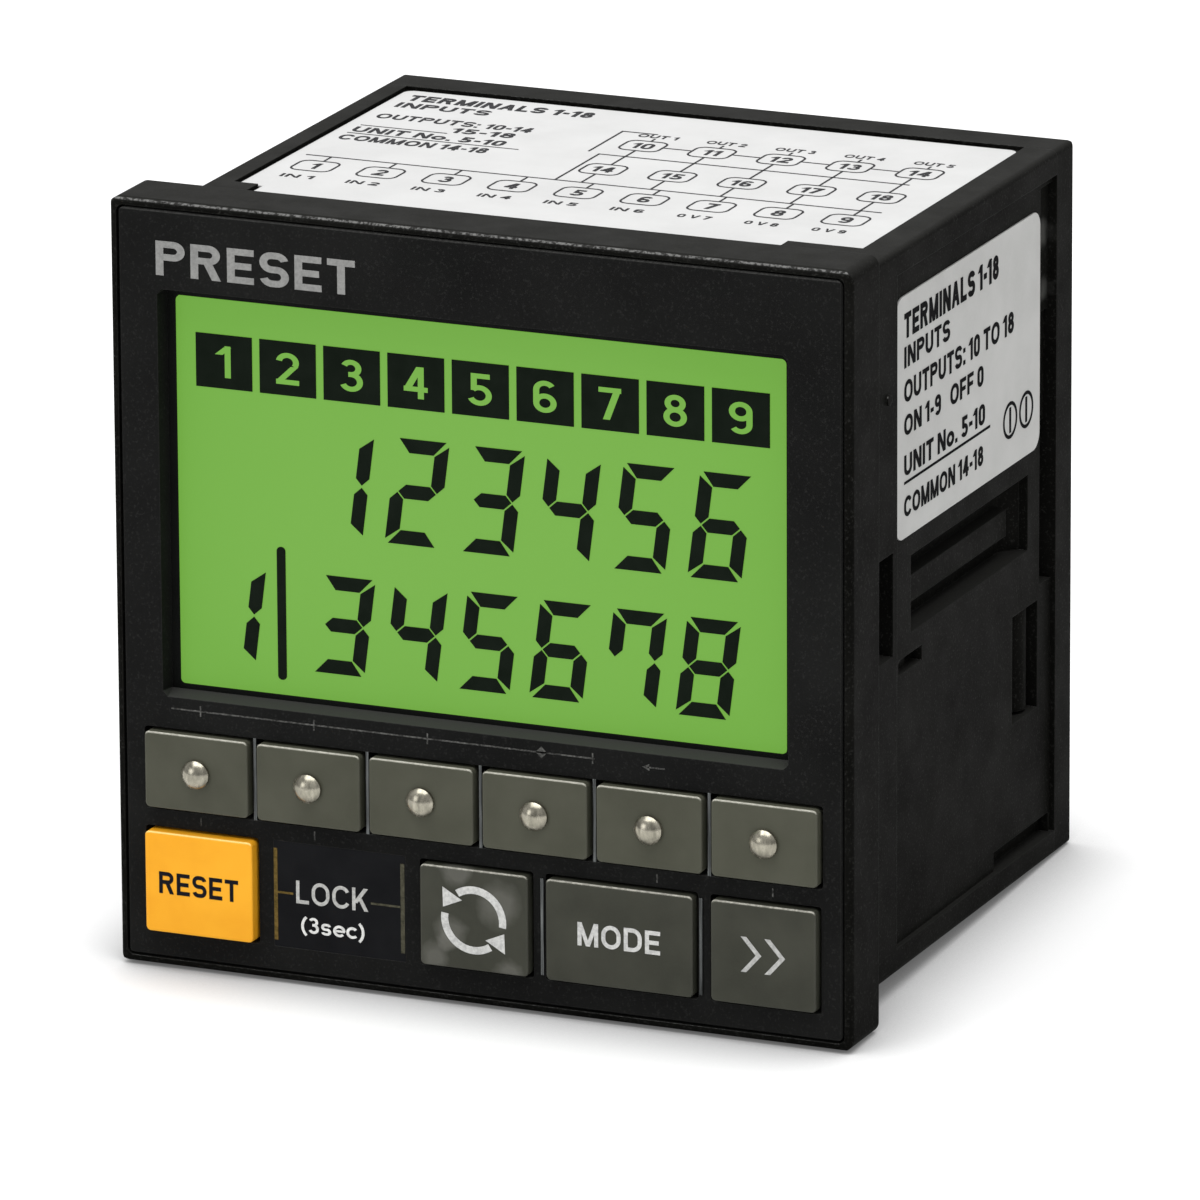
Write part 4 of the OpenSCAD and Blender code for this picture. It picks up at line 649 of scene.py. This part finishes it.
# Numerals that light up in the display's number tiles
tileLook = {"count": 9, "gap": 0.75, "height": 2.95, "widen": 1.28, "stroke": 0.155, "thick": 0.02}
tileLow, tileHigh = boxOf("lcd_number_tiles")
tilePitch = (tileHigh.x - tileLow.x + tileLook["gap"]) / tileLook["count"]
sheet = bmesh.new()
for number in range(tileLook["count"]):
    x = tileLow.x + (tilePitch - tileLook["gap"]) / 2 + number * tilePitch
    numeral = str(number + 1)
    width = letter(numeral, tileLook["stroke"])[0] * tileLook["height"] * tileLook["widen"]
    addText(sheet, numeral, x, (tileLow.z + tileHigh.z) / 2, tileLook["height"], width,
            stroke=tileLook["stroke"])
layPrint(sheet, "tile_numerals", "front", -tileLow.y, finishes["display_green"], "housing",
         tileLook["thick"])

# Lock field: its words, the two upright bars and their short links
lockLook = {
    "words": {"text": "LOCK", "place": (21.27, 63.37), "size": (7.15, 2.15), "stroke": 0.155,
              "ink": "legend"},
    "time": {"text": "(3sec)", "place": (21.3, 66.42), "size": (6.3, 1.52), "stroke": 0.16,
             "ink": "pale"},
    "bars": {"gold": {"bar": (0.0, 0.36), "short": (0.6, 0.7), "link": (0.36, 1.9)},
             "olive": {"bar": (-0.45, -0.05), "short": (0.8, 0.75), "link": (-3.4, -0.5)}},
    "linkRow": (-27.7, -27.5)}
lockLow, lockHigh = boxOf("lock_plate")
for name in ("words", "time"):
    look = lockLook[name]
    x, z = fromCorner(*look["place"])
    width, height = look["size"]
    sheet = bmesh.new()
    addText(sheet, look["text"], x, z, height, width, stroke=look["stroke"])
    layPrint(sheet, "lock_" + name, "front", -lockLow.y, inks[look["ink"]], "housing")
for name, edge in (("gold", lockLow.x), ("olive", lockHigh.x)):
    look = lockLook["bars"][name]
    foot, head = look["short"]
    x0, x1 = look["bar"]
    sheet = bmesh.new()
    addBar(sheet, edge + x0, edge + x1, lockLow.z + foot, lockHigh.z - head)
    x0, x1 = look["link"]
    addBar(sheet, edge + x0, edge + x1, *lockLook["linkRow"])
    layPrint(sheet, "lock_bar_" + name, "front", -lockLow.y, inks[name], "housing")
print("front print done")


# Key caps with crisp edges and rounded corners stand for the plain CAD keys, lips and pegs included

capLook = {"bevel": 0.17, "bevelSteps": 3, "corner": 0.45, "cornerSteps": 4, "lip": 0.8, "lipThick": 0.8,
           "lipGap": 0.1, "overlap": 0.05, "peg": 1.3, "pegSides": 40}
# The lower keys take key_grey_low, a darker copy of key_grey that paints their shade
capFinishes = {"reset_key": "reset_orange", "cycle_key": "key_grey_marked", "mode_key": "key_grey_low",
               "shift_key": "key_grey_low"}


def addBlock(cap, low, high):
    block = bmesh.ops.create_cube(cap, size=1.0)["verts"]
    bmesh.ops.scale(cap, vec=[high[i] - low[i] for i in range(3)], verts=block)
    bmesh.ops.translate(cap, vec=[(high[i] + low[i]) / 2 for i in range(3)], verts=block)


def roundEdges(cap, edges, radius, segments):
    bmesh.ops.bevel(cap, geom=edges, offset=radius, offset_type="OFFSET", segments=segments, profile=0.5,
                    affect="EDGES", material=-1)


def keyCap(node):
    low, high = boxOf(node)
    lip = capLook["lip"]
    lipFront = plateHigh.y + capLook["lipGap"]
    lipBack = lipFront + capLook["lipThick"]
    overlap = capLook["overlap"]
    cap = bmesh.new()
    addBlock(cap, (low.x, low.y, low.z + lip), (high.x, lipFront + overlap, high.z - lip))
    corners = [e for e in cap.edges if abs(e.verts[0].co.y - e.verts[1].co.y) > 0.1]
    roundEdges(cap, corners, capLook["corner"], capLook["cornerSteps"])
    rim = [e for e in cap.edges if all(v.co.y < low.y + 0.01 for v in e.verts)]
    roundEdges(cap, rim, capLook["bevel"], capLook["bevelSteps"])
    addBlock(cap, (low.x, lipFront, low.z), (high.x, lipBack, high.z))
    radius = capLook["peg"]
    peg = bmesh.ops.create_cone(cap, cap_ends=True, segments=capLook["pegSides"], radius1=radius,
                                radius2=radius, depth=high.y - lipBack + overlap)["verts"]
    bmesh.ops.rotate(cap, cent=(0, 0, 0), matrix=Matrix.Rotation(math.radians(90), 3, "X"), verts=peg)
    middle = ((low.x + high.x) / 2, (high.y + lipBack - overlap) / 2, (low.z + high.z) / 2)
    bmesh.ops.translate(cap, vec=middle, verts=peg)
    bmesh.ops.recalc_face_normals(cap, faces=cap.faces[:])
    bmesh.ops.scale(cap, vec=(mm, mm, mm), verts=cap.verts[:])
    mesh = bpy.data.meshes.new(node + "_cap")
    cap.to_mesh(mesh)
    cap.free()
    mesh.materials.append(finishes[capFinishes.get(node, "key_grey")])
    piece = bpy.data.objects.new(node + "_cap", mesh)
    bpy.context.collection.objects.link(piece)
    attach(piece, node)
    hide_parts(node)


for number in range(1, 7):
    keyCap("key_%d" % number)
for node in ("reset_key", "cycle_key", "mode_key", "shift_key"):
    keyCap(node)
print("key caps done")


# Key legends ride on their keys

def keyFace(node):  # centre of the key's cap and how far forward its face lies
    low, high = boxOf(node)
    return (low.x + high.x) / 2, (low.z + high.z) / 2, -low.y


legendLook = {
    "reset": {"text": "RESET", "size": (7.9, 2.05), "stroke": 0.18, "ink": "navy"},
    "mode": {"text": "MODE", "size": (8.05, 2.2), "stroke": 0.175, "ink": "bright"},
    "shift": {"size": (2.0, 3.3), "stroke": 0.54, "step": 2.3},
    "cycle": {"radius": 3.2, "stroke": 0.7, "start": -8, "sweep": 132, "steps": 18,
              "arrowhead": ((-3.05, 2.85), (-3.0, 0.95), (-1.15, 1.75))},
}

for name in ("reset", "mode"):
    look = legendLook[name]
    x, z, front = keyFace(name + "_key")
    width, height = look["size"]
    sheet = bmesh.new()
    addText(sheet, look["text"], x, z, height, width, stroke=look["stroke"])
    layPrint(sheet, name + "_legend", "front", front, inks[look["ink"]], name + "_key")

x, z, front = keyFace("shift_key")
sheet = bmesh.new()
wide, tall = legendLook["shift"]["size"]
stroke = legendLook["shift"]["stroke"]
for side in (-1, 1):
    left = x + side * legendLook["shift"]["step"] / 2 - wide / 2
    addShape(sheet, [(left, z + tall / 2), (left + wide - stroke, z), (left, z - tall / 2),
                     (left + stroke, z - tall / 2), (left + wide, z), (left + stroke, z + tall / 2)])
layPrint(sheet, "shift_legend", "front", front, inks["legend"], "shift_key")

x, z, front = keyFace("cycle_key")
look = legendLook["cycle"]
sheet = bmesh.new()
for way, start in ((1, look["start"]), (-1, look["start"] + 180)):
    addRing(sheet, x, z, look["radius"], look["stroke"], start, look["sweep"], look["steps"])
    addShape(sheet, [(x + way * across, z + way * rise) for across, rise in look["arrowhead"]])
layPrint(sheet, "cycle_legend", "front", front, inks["bright"], "cycle_key")
print("key legends done")


# Top label: generic wiring diagram with plain numbers, from the case's left edge and the panel in mm

topHigh = boxOf("top_label")[1]
caseLow, caseHigh = boxOf("body_case")
left = caseLow.x
diagramLook = {
    "box": (4.1, 3.8), "radius": 1.0, "stroke": 0.2, "rows": (19.1, 27.8, 37.1),
    "figure": 1.95, "smaller": 0.95, "figureStroke": 0.18, "nameHeight": 1.05, "nameStroke": 0.16,
    "frontCount": 9, "inputs": 6, "first": 6.75, "pitch": 6.53, "inName": (15.1, 3.2),
    "rearCount": 5, "rearFirst": (10, 14), "start": 31.6, "step": 6.83, "outName": (1.7, 3.9), "stub": 0.9,
    "bus": 22.7, "busEnds": (4.2, 61.0), "bracket": 27.6, "bracketRows": (33.5, 41.6), "bracketGap": 0.4,
    "rail": (1.3, 59.6, 33.0)}
sheet = bmesh.new()
boxWidth, boxHeight = diagramLook["box"]
line = diagramLook["stroke"]
half = line / 2
frontRow, middleRow, rearRow = diagramLook["rows"]
bus = diagramLook["bus"]


def addBox(x, row, number, figure):
    addFrame(sheet, x, row, boxWidth, boxHeight, diagramLook["radius"], line)
    addText(sheet, str(number), x, row, figure, stroke=diagramLook["figureStroke"])


def addName(words, x, row, width):
    addText(sheet, words, x, row, diagramLook["nameHeight"], width, stroke=diagramLook["nameStroke"])


for index in range(diagramLook["frontCount"]):
    x = left + diagramLook["first"] + index * diagramLook["pitch"]
    addBox(x, frontRow, index + 1, diagramLook["figure"])
    addBar(sheet, x - half, x + half, frontRow + boxHeight / 2, bus)
    kind = "IN" if index < diagramLook["inputs"] else "0 V"
    addName("%s %d" % (kind, index + 1), x, *diagramLook["inName"])
columns = [left + diagramLook["start"] + index * diagramLook["step"]
           for index in range(diagramLook["rearCount"])]
smallFigure = diagramLook["figure"] * diagramLook["smaller"]
rearFirst, middleFirst = diagramLook["rearFirst"]
rise, nameWidth = diagramLook["outName"]
rearEdge = rearRow + boxHeight / 2
for index, x in enumerate(columns):
    addBox(x, rearRow, rearFirst + index, smallFigure)
    addBox(x, middleRow, middleFirst + index, smallFigure)
    addBar(sheet, x - half, x + half, middleRow + boxHeight / 2, rearRow - boxHeight / 2)
    addBar(sheet, x - half, x + half, bus, middleRow - boxHeight / 2)
    addBar(sheet, x - half, x + half, rearEdge, rearEdge + diagramLook["stub"])
    addName("OUT %d" % (index + 1), x, rearEdge + rise, nameWidth)
for x, following in zip(columns, columns[1:]):
    addBar(sheet, x + boxWidth / 2, following - boxWidth / 2, rearRow - half, rearRow + half)
x0, x1 = diagramLook["busEnds"]
addBar(sheet, left + x0, left + x1, bus - half, bus + half)
bracket = left + diagramLook["bracket"]
foot, head = diagramLook["bracketRows"]
addBar(sheet, bracket, bracket + line, foot, head)
addBar(sheet, bracket, columns[0] - diagramLook["bracketGap"], head - line, head)
x0, x1, row = diagramLook["rail"]
addBar(sheet, bracket + x0, bracket + x0 + line, bus, row)
addBar(sheet, bracket + x0, left + x1, row - line, row)
layPrint(sheet, "top_label_diagram", "top", topHigh.z, inks["black"], "housing")

# Lines of text: words, height of the capitals, width, indent, place, stroke
topTextLook = {
    "lines": (("TERMINALS 1-18", 2.0, 18.6, 4.3, 45.8, 0.215), ("INPUTS", 1.75, 9.4, 4.3, 43.0, 0.19),
              ("OUTPUTS: 10-14", 1.7, 15.6, 4.3, 38.5, 0.18), ("15-18", 1.7, 6.2, 13.0, 36.0, 0.18),
              ("UNIT No. 5-10", 1.8, 15.2, 4.3, 33.1, 0.19), ("COMMON 14-18", 1.8, 14.8, 4.3, 30.0, 0.19)),
    "rules": ((4.3, 13.0, 34.6, 34.75), (4.3, 21.5, 31.55, 31.7))}
sheet = bmesh.new()
for words, height, width, indent, row, stroke in topTextLook["lines"]:
    addText(sheet, words, left + indent, row, height, width, 0.0, stroke)
for x0, x1, y0, y1 in topTextLook["rules"]:
    addBar(sheet, left + x0, left + x1, y0, y1)
layPrint(sheet, "top_label_text", "top", topHigh.z, inks["black"], "housing")

# Side label: generic lines in capitals and two plain terminal symbols, down from the case's top in mm

sideHigh = boxOf("side_label")[1]
sideTextLook = {
    "lines": (("TERMINALS 1-18", 2.35, 22.9, 7.65, 0.225), ("INPUTS", 1.95, 11.0, 10.55, 0.2),
              ("OUTPUTS: 10 TO 18", 2.05, 26.7, 13.75, 0.2), ("ON 1-9   OFF 0", 1.9, 19.2, 16.9, 0.2),
              ("UNIT No. 5-10", 1.95, 19.6, 20.6, 0.2), ("COMMON 14-18", 1.9, 19.2, 24.45, 0.2)),
    "indent": 12.4, "rule": (33.3, 22.3, 22.05), "rings": (38.3, 42.3), "ringDrop": 22.9,
    "ringRadius": 1.75, "ringStroke": 0.34, "slot": (0.22, 1.2)}
sheet = bmesh.new()
for words, height, width, drop, stroke in sideTextLook["lines"]:
    addText(sheet, words, sideTextLook["indent"], caseHigh.z - drop, height, width, 0.0, stroke)
x1, low, high = sideTextLook["rule"]
addBar(sheet, sideTextLook["indent"], x1, caseHigh.z - low, caseHigh.z - high)
across, tall = sideTextLook["slot"]
z = caseHigh.z - sideTextLook["ringDrop"]
for x in sideTextLook["rings"]:
    addRing(sheet, x, z, sideTextLook["ringRadius"], sideTextLook["ringStroke"])
    addBar(sheet, x - across, x + across, z - tall, z + tall)
layPrint(sheet, "side_label_text", "side", sideHigh.x, inks["jet"], "housing")
print("label print done")


# Camera at the photograph's angle. Its fit is to the centre of the front face, in mm and in pixels of 1200

cameraLook = {"azimuth": 23.82, "elevation": 16.33, "roll": 0.47, "distance": 1179.0, "focal": 13181.0,
              "frame": 1200.0, "centre": (479.0, 623.0), "sensor": 36.0}
azimuth, elevation, roll = (math.radians(cameraLook[key]) for key in ("azimuth", "elevation", "roll"))
back = Vector((math.sin(azimuth) * math.cos(elevation), -math.cos(azimuth) * math.cos(elevation),
               math.sin(elevation)))
levelRight = Vector((math.cos(azimuth), math.sin(azimuth), 0))
levelUp = back.cross(levelRight)
right = levelRight * math.cos(roll) - levelUp * math.sin(roll)
up = levelUp * math.cos(roll) + levelRight * math.sin(roll)
aimRight = cameraLook["frame"] / 2 - cameraLook["centre"][0]
aimUp = cameraLook["centre"][1] - cameraLook["frame"] / 2
forward = (right * aimRight + up * aimUp) / cameraLook["focal"] - back
forward.normalize()
right = forward.cross(up).normalized()
up = right.cross(forward)
cameraData = bpy.data.cameras.new("camera")
cameraData.sensor_width = cameraLook["sensor"]
cameraData.lens = cameraLook["focal"] / cameraLook["frame"] * cameraLook["sensor"]
camera = bpy.data.objects.new("camera", cameraData)
eye = Vector((0, -plateFront * mm, 0)) + back * cameraLook["distance"] * mm
camera.matrix_world = Matrix.Translation(eye) @ Matrix((right, up, -forward)).transposed().to_4x4()
bpy.context.collection.objects.link(camera)
bpy.context.scene.camera = camera


# Floor under the bezel's edge and the case's rear edge

floorLook = {"size": 6.0, "dark": (0.64, 0.64, 0.64), "light": (0.66, 0.66, 0.66), "patch": 60.0,
             "rough": 0.9, "specular": 0.1, "lift": 0.34, "contact": 0.3, "contactFrom": (0.2, 0.97),
             "reach": 10.5}
bezelLow = boxOf("front_bezel")[0]
caseFoot = boxOf("rear_cover")
slope = (caseFoot[0].z - bezelLow.z) / caseFoot[1].y
sheet = bmesh.new()
ground = bmesh.ops.create_grid(sheet, x_segments=1, y_segments=1, size=floorLook["size"] / 2)["verts"]
for v in ground:
    v.co.z = bezelLow.z * mm + slope * v.co.y
floorMesh = bpy.data.meshes.new("floor")
sheet.to_mesh(floorMesh)
sheet.free()
floor = bpy.data.objects.new("floor", floorMesh)
bpy.context.collection.objects.link(floor)
floorMaterial, tree, shader, place = startMaterial(
    "floor_white", Roughness=floorLook["rough"], Specular_IOR_Level=floorLook["specular"],
    Emission_Strength=floorLook["lift"])
paper = noise(tree, place, floorLook["patch"], 2.0)
paper = ramp(tree, paper, [(0.0, floorLook["dark"]), (1.0, floorLook["light"])])
# Darker close to the object by ambient occlusion, in colour and in glow: a painted contact shadow
nearness = addNode(tree, "AmbientOcclusion", {"Distance": floorLook["reach"] * mm}, samples=8).outputs["AO"]
shade = spread(tree, nearness, floorLook["contact"], 1.0, *floorLook["contactFrom"])
for socket, tone in (("Base Color", paper), ("Emission Color", (1.0, 1.0, 1.0))):
    tree.links.new(blendColour(tree, shade, (0.0, 0.0, 0.0), tone), shader.inputs[socket])
floorMesh.materials.append(floorMaterial)


# Soft studio light: place and aim in metres, size in metres, power in watts

lampLook = {
    "key": ((0.02, -0.16, 1.17), (0, 0.02, 0), (1.3, 1.1), 16.4),
    "fill": ((-0.7, -1.1, 0.4), (0, 0, 0), (0.6, 0.6), 2.4),
}
for name, (place, target, size, power) in lampLook.items():
    data = bpy.data.lights.new(name, "AREA")
    data.shape = "RECTANGLE"
    data.size, data.size_y = size
    data.energy = power
    lamp = bpy.data.objects.new(name, data)
    toward = Vector(target) - Vector(place)
    lamp.matrix_world = Matrix.Translation(place) @ toward.to_track_quat("-Z", "Y").to_matrix().to_4x4()
    bpy.context.collection.objects.link(lamp)

# Sky bright overhead and behind, dim at the sides, as in a tent
skyLook = {"horizon": 0.28, "top": 0.75, "topFrom": (0.0, 0.9), "rear": 0.7, "rearFrom": (0.5, 0.95)}
world = bpy.data.worlds.new("studio")
world.use_nodes = True
skyTree = world.node_tree
axes = splitAxes(skyTree, addNode(skyTree, "TexCoord").outputs["Generated"])
overhead = spread(skyTree, axes["Z"], skyLook["horizon"], skyLook["top"], *skyLook["topFrom"])
behind = spread(skyTree, axes["Y"], 0.0, skyLook["rear"], *skyLook["rearFrom"])
sky = skyTree.nodes["Background"]
skyTree.links.new(mathNode(skyTree, "ADD", overhead, behind), sky.inputs["Strength"])
sky.inputs["Color"].default_value = (1, 1, 1, 1)
bpy.context.scene.world = world
bpy.context.scene.view_settings.view_transform = "Standard"
print("camera, floor and light done")
